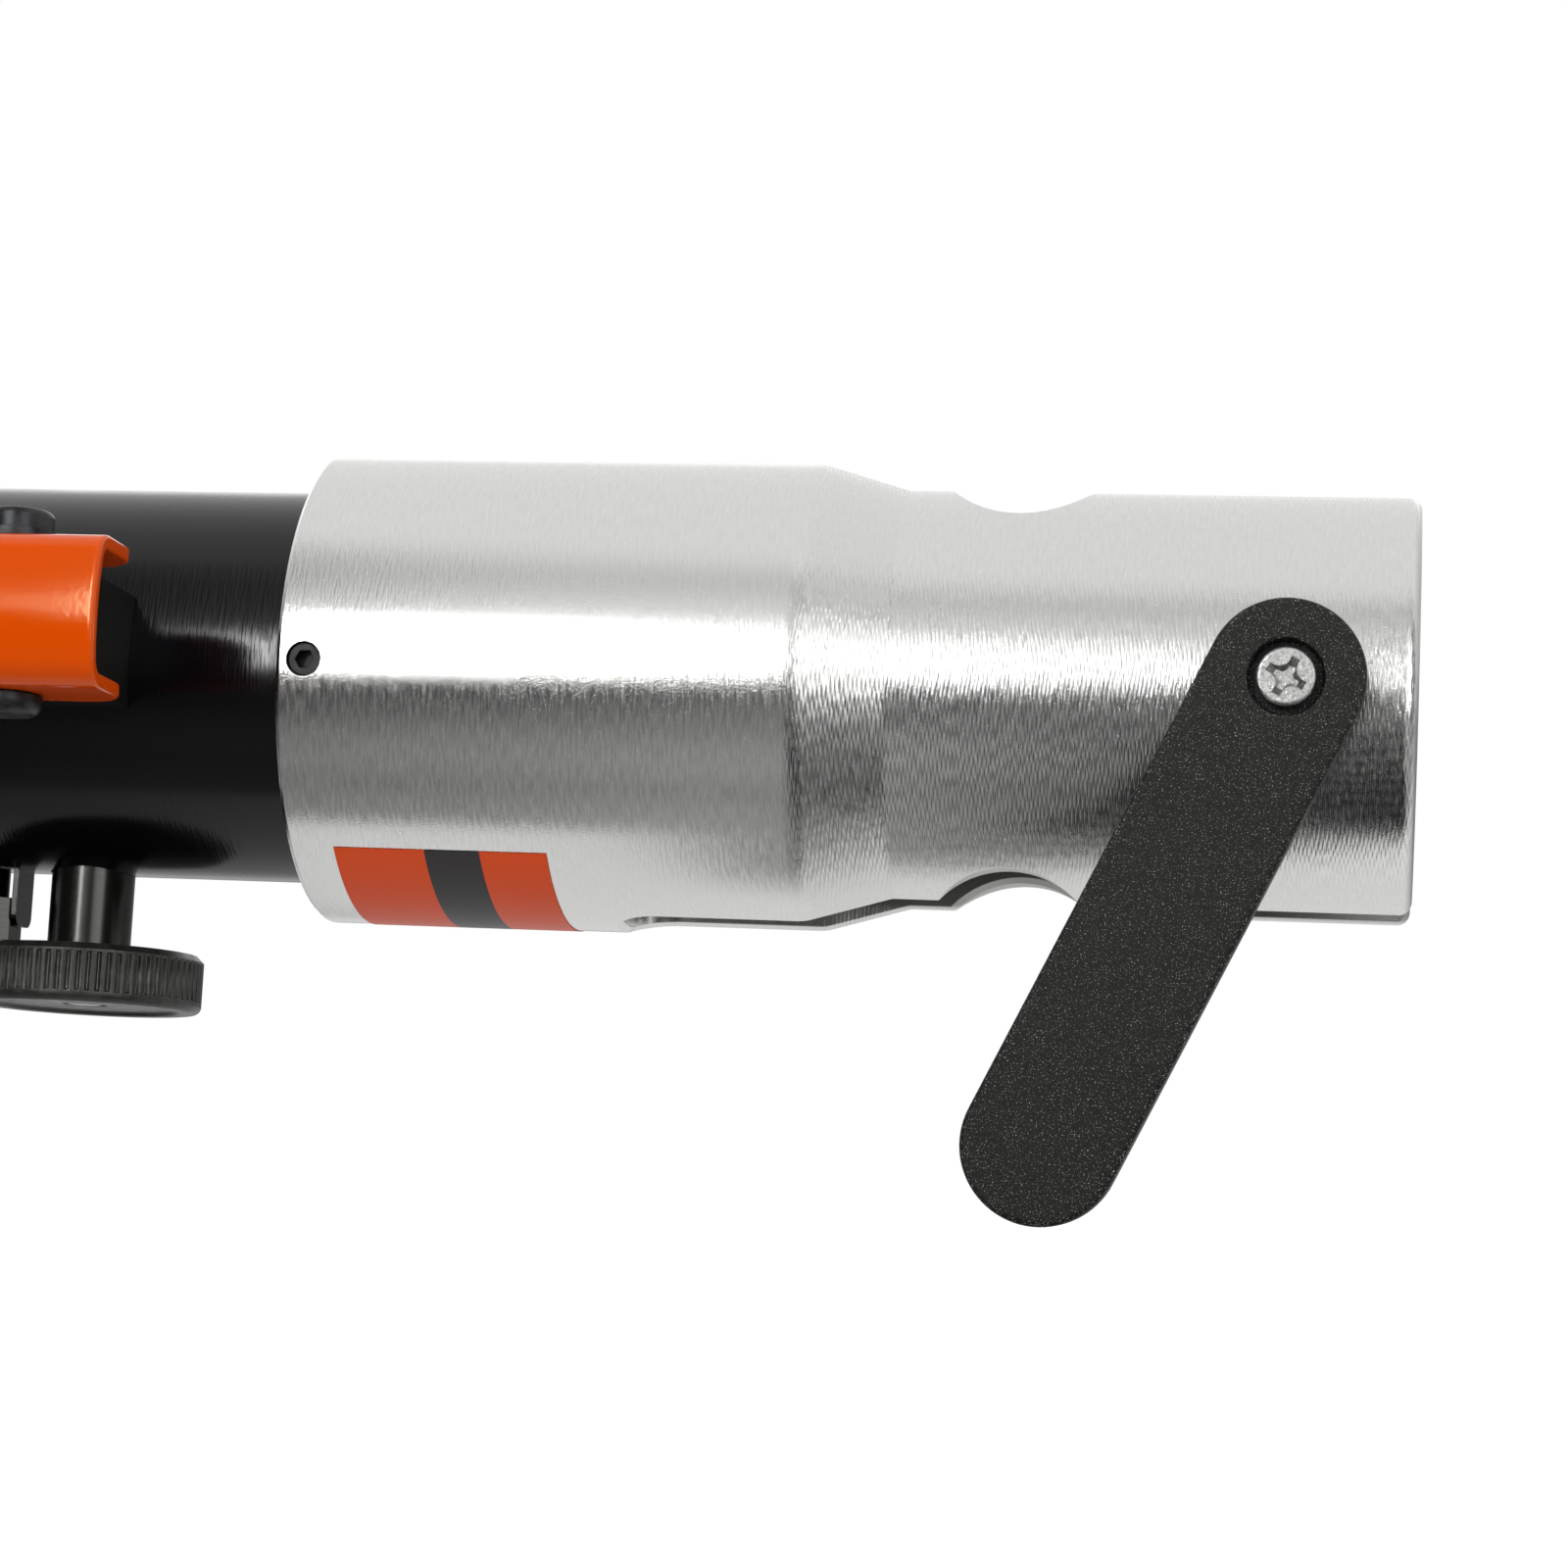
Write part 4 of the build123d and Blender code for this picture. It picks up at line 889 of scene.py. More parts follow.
# Gloss paint on the body: near black, with clear, slightly ringed reflections.
BODY_BLACK = GlossBlack("gloss_black_on_steel", "black_body_steel", "#060609", 0.17, specular=0.3)
# Thinner paint on the lug: a softer black with a broad, dim sheen.
LUG_BLACK = GlossBlack(
    "satin_black_on_steel", "black_body_steel", "#151514", 0.34, specular=0.3, relief_mm=0.02, ring_mm=1.5)
# Textured coat on the latch lever: matt black with pale pin points, which are painted glints.
LEVER_BLACK = PowderCoat("powder_coated_steel", "black_lever_coat", "#0C0D0B", 0.5, specular=0.24)
# Glossy enamel on the pump lever: strong orange with crisp, warm highlights.
LEVER_ORANGE = Enamel("orange_enamel", "orange_paint", "#D04801", 0.08, specular=0.36)
# New zinc on the rivets: pale and bright, with a faint cloudiness.
ZINC = TreatedSteel("zinc_plated_steel", "zinc_steel", "#C4C6C6", 0.3, 1.0, second="#A9ABAA", patch_mm=1.2)
# Zinc on the latch screw: pale, blotched and scuffed.
WORN_ZINC = TreatedSteel(
    "worn_zinc_on_steel", "zinc_steel", "#C8C9C7", 0.32, 1.0, relief_mm=0.06, second="#8A8B89", patch_mm=0.5)
# Ground pins and rollers: bright grey steel with a clear sheen.
GROUND = GroundSteel("ground_steel", "hard_steel", "#B4B5B7", 0.22, 1.0)
# The ground ram: the same steel, a little glossier, fed along X.
GROUND_RAM = GroundSteel("ground_ram_steel", "hard_steel", "#B4B5B7", 0.2, 1.0, lay=Lay.X)
# Blacked turned steel: dark metal with a clear highlight that fine rings break up.
BLACKED = GroundSteel(
    "blacked_turned_steel", "black_oxide_steel", "#3B3C3A", 0.2, 1.0, relief_mm=0.008, lay=Lay.Z, lay_mm=0.4)
# Black oxide on fasteners: blue-black, with a soft sheen.
OXIDE = TreatedSteel("black_oxided_steel", "black_oxide_steel", "#242527", 0.36, 0.75)
# Oiled black oxide on the lock screw: darker and duller than the dry kind.
OIL_BLACKED = TreatedSteel("oil_blacked_steel", "black_oxide_steel", "#101010", 0.42, 0.5, second="#1C1C1B")
# Phosphate on the knob: dull grey-black, rubbed bright along its ridges.
PHOSPHATE = TreatedSteel(
    "phosphated_steel", "knob_phosphate", "#2A2B29", 0.38, 0.55, relief_mm=0.01, second="#3C3D3B",
    wear_mm=0.25)
# Drawn spring wire: mid grey, with a smooth oily sheen.
SPRING = TreatedSteel(
    "drawn_spring_wire", "spring_steel", "#6D6E72", 0.32, 1.0, second="#58595C", patch_mm=1.0)
# Grip rubber: dull black, greyed by dust.
RUBBER = MouldedRubber("moulded_grip_rubber", "grip_rubber", "#161616", 0.62)
# Nitrile seals: black, with the soft shine of oiled rubber.
SEAL = MouldedRubber("nitrile_seal_rubber", "seal_rubber", "#101010", 0.4, grain_mm=0.3)
# Label film: flat orange-red and black ink with a satin face.
VINYL = PrintedVinyl("printed_vinyl", "orange_paint", "#D54812", 0.4, specular=0.2)


# Sub-assemblies


class SubAssembly(ABC):
    """A group of pieces that are built and dressed together."""

    @abstractmethod
    def build(self) -> None:
        """Builds the group's meshes and dresses them."""

    def keep(self, finish: Finish, *nodes: str) -> None:
        """Gives CAD nodes their finish and leaves their shapes as they are.

        Args:
            finish: what they are made of.
            nodes: the nodes' names.
        """
        for name in nodes:
            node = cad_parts[name]
            node.data.materials.clear()
            node.data.materials.append(finish.material())
            LOG.info("kept %s in %s", name, finish.name)

    def add(self, piece: bpy.types.Object, finish: Finish, body: Body, *stands_for: str) -> None:
        """Dresses a new piece and hangs it on its body.

        Args:
            piece: the new object.
            finish: what it is made of.
            body: the body that it moves with.
            stands_for: the CAD nodes that it replaces.
        """
        piece.data.materials.append(finish.material())
        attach(piece, body.value)
        if stands_for:
            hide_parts(*stands_for)
        LOG.info("made %s in %s", piece.name, finish.name)


@dataclass
class JawHead(SubAssembly):
    """The slotted head with its lock screw and its label."""

    radius: float = 42.5
    label_front: float = -125.5
    label_rear: float = -163.3
    label_start: float = 47.0
    label_arc: float = 55.0
    label_lift: float = 0.12
    glue: float = 0.02
    columns: int = 48
    rows: int = 30

    def build(self) -> None:
        """Dresses the head and sticks the label on it."""
        self.keep(HEAD_ALUMINIUM, "head_housing")
        self.keep(OIL_BLACKED, "head_lock_screw")
        self.add(self.label(), VINYL, Body.HEAD)

    def label(self) -> bpy.types.Object:
        """Makes the thin label that wraps under the head.

        Returns:
            The label, curved to the head and as thin as its film.
        """
        bm = bmesh.new()
        start = radians(self.label_start)
        sweep = self.label_arc / self.radius
        angles = [start + sweep * column / self.columns for column in range(self.columns + 1)]
        film = [(self.radius + self.label_lift, angle) for angle in angles]
        film += [(self.radius + self.glue, angle) for angle in reversed(angles)]
        rings = []
        for row in range(self.rows + 1):
            along = self.label_rear + (self.label_front - self.label_rear) * row / self.rows
            rings.append([Vector((along, -reach * cos(angle), -reach * sin(angle))) for reach, angle in film])
        loops = skin(bm, rings)
        for end in (loops[0], loops[-1]):
            for i in range(self.columns):
                bm.faces.new((end[i], end[i + 1], end[-2 - i], end[-1 - i]))
        return make_piece("head_label", bm)


@dataclass
class JawPinAndLatch(SubAssembly):
    """The pull-out jaw pin with its flat lever and cross-recess screw."""

    lever_angle: float = radians(64.3)
    lever_centres: float = 86.0
    lever_radius: float = 13.1
    lever_underside: float = 43.0
    lever_top: float = 48.5
    lever_edge: float = 0.9
    small_edge: float = 0.4
    seat: float = 45.5
    recess_radius: float = 6.3
    recess_flat: float = 0.5
    hole_radius: float = 2.55
    head_radius: float = 4.9
    head_height: float = 3.4
    head_edge: float = 0.55
    head_under_edge: float = 0.2
    head_flat: float = 0.25
    shank_radius: float = 2.5
    shank_length: float = 14.0
    shank_bevel: float = 0.5
    cross_turn: float = radians(62.0)
    cross_depth: float = 1.7
    # The shares of the cross's taper and of its depth, from its edge down to its floor.
    cross_side: tuple[Point, ...] = ((0.0, 0.0), (0.12, 0.1), (0.8, 0.8), (1.0, 1.0))
    # Each at the head's face and at the cross's floor.
    arm_length: Point = (3.4, 2.1)
    arm_half: Point = (0.72, 0.52)
    arm_round: Point = (2.0, 1.0)
    arm_steps: int = 7

    def build(self) -> None:
        """Dresses the pin and makes the lever and the screw."""
        self.keep(GROUND, "jaw_pin")
        self.add(self.lever(), LEVER_BLACK, Body.LATCH, "latch_lever")
        self.add(self.screw(), WORN_ZINC, Body.LATCH, "latch_screw")

    def lever(self) -> bpy.types.Object:
        """Makes the flat lever: a bar with round ends, rounded edges and a recess for the screw.

        Returns:
            The lever.
        """
        bm = bmesh.new()
        small = self.small_edge
        side = rounded_side(self.lever_underside, self.lever_top, small, self.lever_edge)
        low, top = wall(bm, lambda inset: stadium(self.lever_centres, self.lever_radius - inset), side)
        hole = [
            (self.hole_radius + small, self.lever_underside),
            (self.hole_radius, self.lever_underside + small),
            (self.hole_radius, self.seat),
            (self.recess_radius - small, self.seat),
            (self.recess_radius, self.seat + small),
            (self.recess_radius, self.lever_top - LIP),
            (self.recess_radius + LIP_MIDDLE, self.lever_top - LIP_MIDDLE),
            (self.recess_radius + LIP, self.lever_top),
            (self.recess_radius + self.recess_flat, self.lever_top),
        ]
        hole_low, hole_top = wall(bm, circle, hole)
        cap(bm, [low, hole_low])
        cap(bm, [top, hole_top])
        along = (-cos(self.lever_angle), 0.0, -sin(self.lever_angle))
        return make_piece("latch_lever_coated", bm, stand((0, 0, 0), along, (0, -1, 0)))

    def cross(self, sink: float) -> list[Point]:
        """Gives the outline of the cross recess at a depth: four arms with rounded inner corners.

        Args:
            sink: how far the cross has tapered there, from 0 at the head's face to 1 at its floor.

        Returns:
            The outline's points.
        """
        sizes = (self.arm_length, self.arm_half, self.arm_round)
        length, half, rounding = (face + (floor - face) * sink for face, floor in sizes)
        middle = half + rounding
        angles = [-pi / 2 - pi / 2 * i / self.arm_steps for i in range(self.arm_steps + 1)]
        corner = [(middle + rounding * cos(a), middle + rounding * sin(a)) for a in angles]
        quarter = [(length, half), *corner, (half, length)]
        points = []
        for arm in range(4):
            turn = self.cross_turn + arm * pi / 2
            points += [(u * cos(turn) - v * sin(turn), u * sin(turn) + v * cos(turn)) for u, v in quarter]
        return points

    def screw(self) -> bpy.types.Object:
        """Makes the screw: a flat head with a rounded rim and a cross recess, on a plain shank.

        Returns:
            The screw.
        """
        bm = bmesh.new()
        rim = [
            (self.head_radius - inset, self.head_height - drop)
            for inset, drop in reversed(fillet_arc(self.head_edge))
        ]
        profile = [
            (self.shank_radius - self.shank_bevel, -self.shank_length),
            (self.shank_radius, self.shank_bevel - self.shank_length),
            (self.shank_radius, 0.0),
            (self.head_radius - self.head_under_edge, 0.0),
            (self.head_radius, self.head_under_edge),
            *rim,
            (self.head_radius - self.head_edge - self.head_flat, self.head_height),
        ]
        tip, face = wall(bm, circle, profile)
        cap(bm, [tip])
        side = [(taper, self.head_height - drop * self.cross_depth) for taper, drop in self.cross_side]
        rim_loop, floor_loop = wall(bm, self.cross, side)
        cap(bm, [face, rim_loop])
        cap(bm, [floor_loop])
        place = stand((0, -self.seat, 0), (1, 0, 0), (0, -1, 0))
        return make_piece("latch_screw_cross", bm, place, sharp=30.0)


@dataclass
class RamAndRollers(SubAssembly):
    """The ram with the roller carrier on its nose, and the spring that brings it back."""

    stroke: float = 34.0
    spring_wire: float = 3.0
    spring_turns: int = 5
    turn_steps: int = 48
    wire_points: int = 16

    def build(self) -> None:
        """Dresses the ram's pieces and winds the spring."""
        self.keep(GROUND_RAM, "ram")
        self.keep(GROUND, "roller_axles", "roller_lower", "roller_upper")
        self.keep(OXIDE, "roller_carrier")
        self.keep(SEAL, "piston_seal")
        self.add(self.spring(), SPRING, Body.PUMP, "return_spring")

    def spring(self) -> bpy.types.Object:
        """Winds the return spring, which the ram presses together against the cylinder's gland.

        Returns:
            The spring, as long at rest as its CAD node.
        """
        rear, front = (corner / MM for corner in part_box("return_spring"))
        wire = self.spring_wire / 2
        reach = front.z - wire
        pitch = (front.x - rear.x - 2 * wire) / self.spring_turns
        lead = pitch / (2 * pi * reach)
        bm = bmesh.new()
        rings = []
        for step in range(self.spring_turns * self.turn_steps + 1):
            turn = 2 * pi * step / self.turn_steps
            outward = Vector((0, cos(turn), sin(turn)))
            along = Vector((-lead, -sin(turn), cos(turn))).normalized()
            middle = outward * reach + Vector((front.x - wire - pitch * step / self.turn_steps, 0, 0))
            beside = along.cross(outward)
            rings.append([middle + outward * u + beside * v for u, v in circle(wire, self.wire_points)])
        loops = skin(bm, rings)
        cap(bm, [loops[0]])
        cap(bm, [loops[-1]])
        spring = make_piece("return_spring_wound", bm)
        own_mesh(spring)
        return spring


@dataclass
class Grip:
    """A moulded rubber sleeve with a closed end: grooves round it and shallow flutes along its lands."""

    name: str
    radius: float
    bore: float
    y: float
    front: float = -434.0
    rear: float = -584.0
    grooves: int = 9
    groove_width: float = 3.0
    groove_depth: float = 1.0
    end_wall: float = 3.5
    end_round: float = 2.4
    end_flat: float = 0.3
    end_plain: float = 1.0
    round_steps: int = 6
    mouth: float = 0.6
    flutes: int = 30
    flute_depth: float = 0.35
    # Shares of a flute's depth, from its floor over the ridge beside it to the next floor.
    flute_side: tuple[float, ...] = (1.0, 0.75, 0.1, 0.1, 0.75)
    # How far past a groove's side, with the share of its depth there.
    groove_side: tuple[Point, ...] = (
        (1.6, 0.0), (0.7, 0.0), (0.25, 0.12), (0.0, 0.4), (-0.15, 0.8), (-0.5, 1.0))
    # Shares of the radius, with how far the end is hollowed there.
    end_dimple: tuple[Point, ...] = ((0.62, 0.0), (0.58, 0.5), (0.2, 0.6), (0.0, 0.6))

    @property
    def length(self) -> float:
        """The sleeve's length."""
        return self.front - self.rear

    @property
    def spacing(self) -> float:
        """The distance from groove to groove."""
        return self.length / (self.grooves + 1)

    def mesh(self) -> bpy.types.Object:
        """Makes the sleeve.

        Returns:
            The sleeve, along the tool at its own y.
        """
        bm = bmesh.new()
        rounding = fillet_arc(self.end_round, self.round_steps)
        profile = [
            (self.bore, self.mouth),
            (self.bore + self.mouth, 0.0),
            (self.radius - self.end_round - self.end_flat, 0.0),
        ]
        profile += [(self.radius - inset, drop) for inset, drop in rounding]
        for groove in range(1, self.grooves + 1):
            middle = groove * self.spacing
            profile += self.groove_half(middle, -1)
            profile += reversed(self.groove_half(middle, 1))
        profile += [(self.radius - inset, self.length - drop) for inset, drop in reversed(rounding)]
        profile += [(self.radius * share, self.length - sink) for share, sink in self.end_dimple]
        count = self.flutes * len(self.flute_side)
        lathe(bm, profile, count, self.fluted)
        floor = self.length - self.end_wall
        lathe(bm, [(self.bore, self.mouth), (self.bore, floor), (0.0, floor)], count)
        place = stand((self.front, self.y, 0), (0, 0, 1), (-1, 0, 0))
        return make_piece(self.name, bm, PUMP_TURN @ place)

    def groove_half(self, middle: float, side: int) -> list[Point]:
        """Gives one half of a groove, from the land down to its floor.

        Args:
            middle: the height of the groove's middle.
            side: which half, 1 or -1.

        Returns:
            Pairs of radius and height.
        """
        half = self.groove_width / 2
        return [
            (self.radius - self.groove_depth * share, middle + side * (half + out))
            for out, share in self.groove_side
        ]

    def fluted(self, number: int, radius: float, height: float) -> float:
        """Gives the radius with the flutes cut into the lands.

        Args:
            number: the point's number round the sleeve.
            radius: its radius on the profile.
            height: its height on the profile.

        Returns:
            Its radius on the sleeve.
        """
        half = self.spacing / 2
        from_groove = abs((height + half) % self.spacing - half)
        from_end = min(height, self.length - height)
        on_land = radius > self.radius - SAME_RADIUS
        if not on_land or from_groove < self.groove_width or from_end < self.end_round + self.end_plain:
            return radius
        return radius - self.flute_depth * self.flute_side[number % len(self.flute_side)]


@dataclass
class PumpBody(SubAssembly):
    """The black body with the pump, the fulcrum, the valves and the springs in it."""

    def build(self) -> None:
        """Dresses the body's pieces."""
        self.keep(BODY_BLACK, "pump_body")
        self.keep(LUG_BLACK, "fulcrum_lug")
        self.keep(OXIDE, "cylinder_gland", "pump_barrel", "fulcrum_bolt", "fulcrum_nut", "fulcrum_washer")
        self.keep(BLACKED, "relief_plug", "lock_tab")
        self.keep(GROUND, "check_balls", "pump_plunger", "plunger_pin")
        self.keep(SPRING, "relief_spring", "plunger_clips")
        self.keep(SEAL, "rod_seal", "plunger_seal")


@dataclass
class PumpLever(SubAssembly):
    """The pressed yoke, its tube and its grip."""

    yoke_front: float = -191.0
    yoke_rear: float = -292.0
    web_face: float = -80.0
    flange_edge: float = -59.0
    outer_half: float = 12.7
    plate: float = 2.5
    bend: float = 3.75
    crown: float = 46.0
    corner: float = 7.0
    corner_steps: int = 10
    web_cuts: int = 6
    bend_cuts: int = 10
    edge: float = 0.6
    hole_edge: float = 0.3
    hole_edge_steps: int = 3
    # The bolt's hole and the slotted one: x, y and radius.
    bolt: tuple[float, float, float] = (-210.0, -66.0, 4.05)
    slot: tuple[float, float, float] = (-244.1, -66.0, 4.7)
    slot_centres: float = 4.9
    slot_steps: int = 16
    bolt_points: int = 48
    rivet_points: int = 32
    rivets: tuple[float, ...] = (-269.0, -281.0)
    rivet_hole: float = 3.05
    tube_y: float = -67.3

    def build(self) -> None:
        """Makes the yoke and the grip and dresses the other pieces."""
        self.add(self.yoke(), LEVER_ORANGE, Body.LEVER, "pump_yoke")
        self.keep(LEVER_ORANGE, "lever_tube")
        self.keep(ZINC, "yoke_rivets")
        grip = Grip("moving_grip_ribbed", radius=15.15, bore=10.2, y=self.tube_y)
        self.add(grip.mesh(), RUBBER, Body.LEVER, "moving_grip")

    @property
    def crown_angle(self) -> float:
        """The slope of the web's crown where the bend starts."""
        return asin((self.outer_half - self.plate / 2 - self.bend) / (self.crown - self.bend))

    @property
    def flat_start(self) -> Point:
        """Finds where a flange becomes flat.

        Returns:
            The distance along the plate and the depth below the crown.
        """
        angle = self.crown_angle
        along = self.crown * angle + self.bend * (pi / 2 - angle)
        return along, self.crown * (1 - cos(angle)) + self.bend * cos(angle)

    def unrolled(self, y: float) -> float:
        """Gives the distance along the flat plate of a point of a flange at y."""
        along, depth = self.flat_start
        return along + y - (self.web_face + self.plate / 2) - depth

    def bent(self, point: Vector) -> Vector:
        """Bends a point of the flat plate round the crown and the two bends.

        Args:
            point: along the tool, along the plate's width, and above the plate's middle.

        Returns:
            The point's place on the tool.
        """
        side = 1.0 if point.y >= 0 else -1.0
        run = abs(point.y)
        first = self.crown_angle
        web = self.crown * first
        flat, flat_depth = self.flat_start
        if run <= web:
            angle = run / self.crown
            across, depth = self.crown * sin(angle), self.crown * (1 - cos(angle))
        elif run <= flat:
            angle = first + (run - web) / self.bend
            across = self.crown * sin(first) + self.bend * (sin(angle) - sin(first))
            depth = self.crown * (1 - cos(first)) + self.bend * (cos(first) - cos(angle))
        else:
            angle = pi / 2
            across = self.outer_half - self.plate / 2
            depth = flat_depth + run - flat
        across += point.z * sin(angle)
        depth -= point.z * cos(angle)
        return Vector((point.x, self.web_face + self.plate / 2 + depth, side * across))

    def blank(self, inset: float) -> list[Point]:
        """Gives the outline of the flat blank: a rectangle with rounded corners.

        Args:
            inset: how far the outline lies inside the blank's own.

        Returns:
            The outline's points.
        """
        half = self.unrolled(self.flange_edge) - inset
        rounding = self.corner - inset
        centres = [
            (self.yoke_front - inset - rounding, half - rounding),
            (self.yoke_rear + inset + rounding, half - rounding),
            (self.yoke_rear + inset + rounding, rounding - half),
            (self.yoke_front - inset - rounding, rounding - half),
        ]
        points = []
        for quarter, (x, v) in enumerate(centres):
            angles = [pi / 2 * (quarter + i / self.corner_steps) for i in range(self.corner_steps + 1)]
            points += [(x + rounding * cos(a), v + rounding * sin(a)) for a in angles]
        return points

    def yoke(self) -> bpy.types.Object:
        """Makes the yoke as it is pressed: a blank with rounded edges and holes, bent to a channel.

        Returns:
            The yoke.
        """
        bm = bmesh.new()
        half = self.plate / 2
        side = rounded_side(-half, half, self.edge, self.edge)
        low, top = wall(bm, self.blank, side)
        lows, tops = [low], [top]
        rounded = rounded_side(-half, half, self.hole_edge, self.hole_edge, self.hole_edge_steps)
        hole_side = [(-inset, height) for inset, height in rounded]
        for flank in (-1, 1):
            for outline in self.holes(flank):
                hole_low, hole_top = wall(bm, outline, hole_side)
                lows.append(hole_low)
                tops.append(hole_top)
        cap(bm, lows)
        cap(bm, tops)
        flat = self.flat_start[0]
        web = self.crown * self.crown_angle
        cuts = [web * i / self.web_cuts for i in range(self.web_cuts + 1)]
        cuts += [web + (flat - web) * i / self.bend_cuts for i in range(1, self.bend_cuts + 1)]
        for cut in sorted({*cuts, *(-c for c in cuts)}):
            everything = [*bm.verts, *bm.edges, *bm.faces]
            bmesh.ops.bisect_plane(bm, geom=everything, plane_co=(0, cut, 0), plane_no=(0, 1, 0))
        for vert in bm.verts:
            vert.co = self.bent(vert.co)
        return make_piece("pump_yoke_pressed", bm, PUMP_TURN)

    def holes(self, flank: int) -> list[Outline]:
        """Gives the outlines of one flange's holes.

        Args:
            flank: which flange, 1 or -1.

        Returns:
            Functions that give each hole's outline at an inset.
        """
        bolt_x, bolt_y, bolt_radius = self.bolt
        slot_x, slot_y, slot_radius = self.slot
        start = slot_x - self.slot_centres / 2
        outlines = [
            lambda inset: shifted(
                circle(bolt_radius - inset, self.bolt_points), bolt_x, flank * self.unrolled(bolt_y)),
            lambda inset: shifted(
                stadium(self.slot_centres, slot_radius - inset, self.slot_steps),
                start, flank * self.unrolled(slot_y)),
        ]
        for x in self.rivets:
            outlines.append(lambda inset, x=x: shifted(
                circle(self.rivet_hole - inset, self.rivet_points), x, flank * self.unrolled(self.tube_y)))
        return outlines


@dataclass
class ReleaseValve(SubAssembly):
    """The release knob on its stem."""

    knob_x: float = -216.0
    inner_face: float = 49.5
    outer_face: float = 60.0
    knob_radius: float = 21.0
    ridges: int = 72
    groove_depth: float = 0.7
    inner_chamfer: float = 1.2
    chamfer_steps: int = 4
    inner_flat: float = 0.3
    outer_round: float = 1.4
    round_steps: int = 9
    ridge_low: float = 51.0
    ridge_high: float = 58.2
    ridge_fade: float = 0.4
    # Shares of a groove's depth, from its floor over the ridge beside it to the next floor.
    ridge_side: tuple[float, ...] = (1.0, 0.8, 0.15, 0.0, 0.0, 0.0, 0.15, 0.8)
    dish_radius: float = 17.0
    dish_depth: float = 0.7
    screw_hole: float = 3.9
    screw_seat: float = 57.3
    bore: float = 5.05
    bore_bevel: float = 0.4

    def build(self) -> None:
        """Makes the knob and dresses the other pieces."""
        self.keep(BLACKED, "release_stem", "knob_screw")
        self.keep(SEAL, "stem_seal")
        self.add(self.knob(), PHOSPHATE, Body.VALVE, "release_knob")

    def knob(self) -> bpy.types.Object:
        """Makes the knob: flat ridges with narrow grooves, a rounded rim and a shallow dish.

        Returns:
            The knob.
        """
        bm = bmesh.new()
        low, high, reach = self.inner_face, self.outer_face, self.knob_radius
        floor = high - self.dish_depth
        rounding = self.outer_round
        angles = [pi / 2 * i / self.round_steps for i in range(self.round_steps + 1)]
        shares = [i / self.chamfer_steps for i in range(self.chamfer_steps + 1)]
        chamfer = [(reach - self.inner_chamfer * (1 - s), low + self.inner_chamfer * s) for s in shares]
        rim = [(reach - rounding + rounding * cos(a), high - rounding + rounding * sin(a)) for a in angles]
        fade = self.ridge_fade
        side = [self.ridge_low, self.ridge_low + fade, self.ridge_high - fade, self.ridge_high]
        profile = [
            (self.bore, low + self.bore_bevel),
            (self.bore + self.bore_bevel, low),
            (reach - self.inner_chamfer - self.inner_flat, low),
            *chamfer,
            *((reach, height) for height in side),
            *rim,
            (self.dish_radius + LIP, high),
            (self.dish_radius + LIP_MIDDLE, high - LIP_MIDDLE),
            (self.dish_radius, high - LIP),
            (self.dish_radius - LIP_MIDDLE, floor + LIP_MIDDLE),
            (self.dish_radius - LIP - LIP_MIDDLE, floor),
            (self.screw_hole + LIP, floor),
            (self.screw_hole, floor - LIP),
            (self.screw_hole, self.screw_seat),
            (self.bore, self.screw_seat),
        ]
        lathe(bm, profile, self.ridges * len(self.ridge_side), self.ridged, looped=True)
        place = stand((self.knob_x, 0, 0), (1, 0, 0), (0, 0, -1))
        return make_piece("release_knob_ridged", bm, PUMP_TURN @ place)

    def ridged(self, number: int, radius: float, height: float) -> float:
        """Gives the radius with the grooves cut into the knob's side, between its two plain bands.

        Args:
            number: the point's number round the knob.
            radius: its radius on the profile.
            height: its height on the profile.

        Returns:
            Its radius on the knob.
        """
        share = self.ridge_side[number % len(self.ridge_side)]
        inside = min(height - self.ridge_low, self.ridge_high - height) / self.ridge_fade
        depth = self.groove_depth * share * max(0.0, min(1.0, inside))
        return min(radius, self.knob_radius - depth)


@dataclass
class FixedHandle(SubAssembly):
    """The reservoir tube with its bladder and its grip."""

    def build(self) -> None:
        """Dresses the handle's pieces."""
        self.keep(BODY_BLACK, "reservoir_tube")
        self.keep(GROUND, "bladder_spigot", "tube_plug")
        self.keep(SEAL, "oil_bladder")
        grip = Grip("fixed_grip_ribbed", radius=19.0, bore=16.05, y=0.0)
        self.add(grip.mesh(), RUBBER, Body.PUMP, "fixed_grip")


# Studio


@dataclass(frozen=True)
class BoxSlice:
    """The front softbox at one place along the tool, as a reflection shows it.

    The angles run up from its lower edge: the end of the white core, its fading rim, the grey cloth above
    it, and the ceiling. They are in degrees above the horizon.
    """

    x: float
    angles: tuple[float, ...]
    core: float = 2.0
    rim: float = 1.34
    cloth: float = 0.74
    ceiling: float = 1.0
    fade: float = 2.5
    skirt: float = 0.12
    cloth_glow: float = 1.3
    foot: float = -9.0

    def column(self) -> list[Point]:
        """Follows the box from the dark skirt under it upwards.

        Returns:
            Each angle with how bright the box looks there.
        """
        low, *higher = self.angles
        shades = (self.core, self.rim, self.cloth_glow * self.cloth, self.cloth, self.cloth, self.ceiling)
        edge = [(low - self.fade, self.skirt), (low + self.fade / 2, self.core)]
        return [(self.foot, self.skirt), *edge, *zip(higher, shades)]


@dataclass(frozen=True)
class ClothSlice:
    """The grey cloth on the floor at one place along the tool: its edge, its tone and the floor beyond it."""

    x: float
    edge: float
    shade: float
    floor: float
    blur: float = 0.005


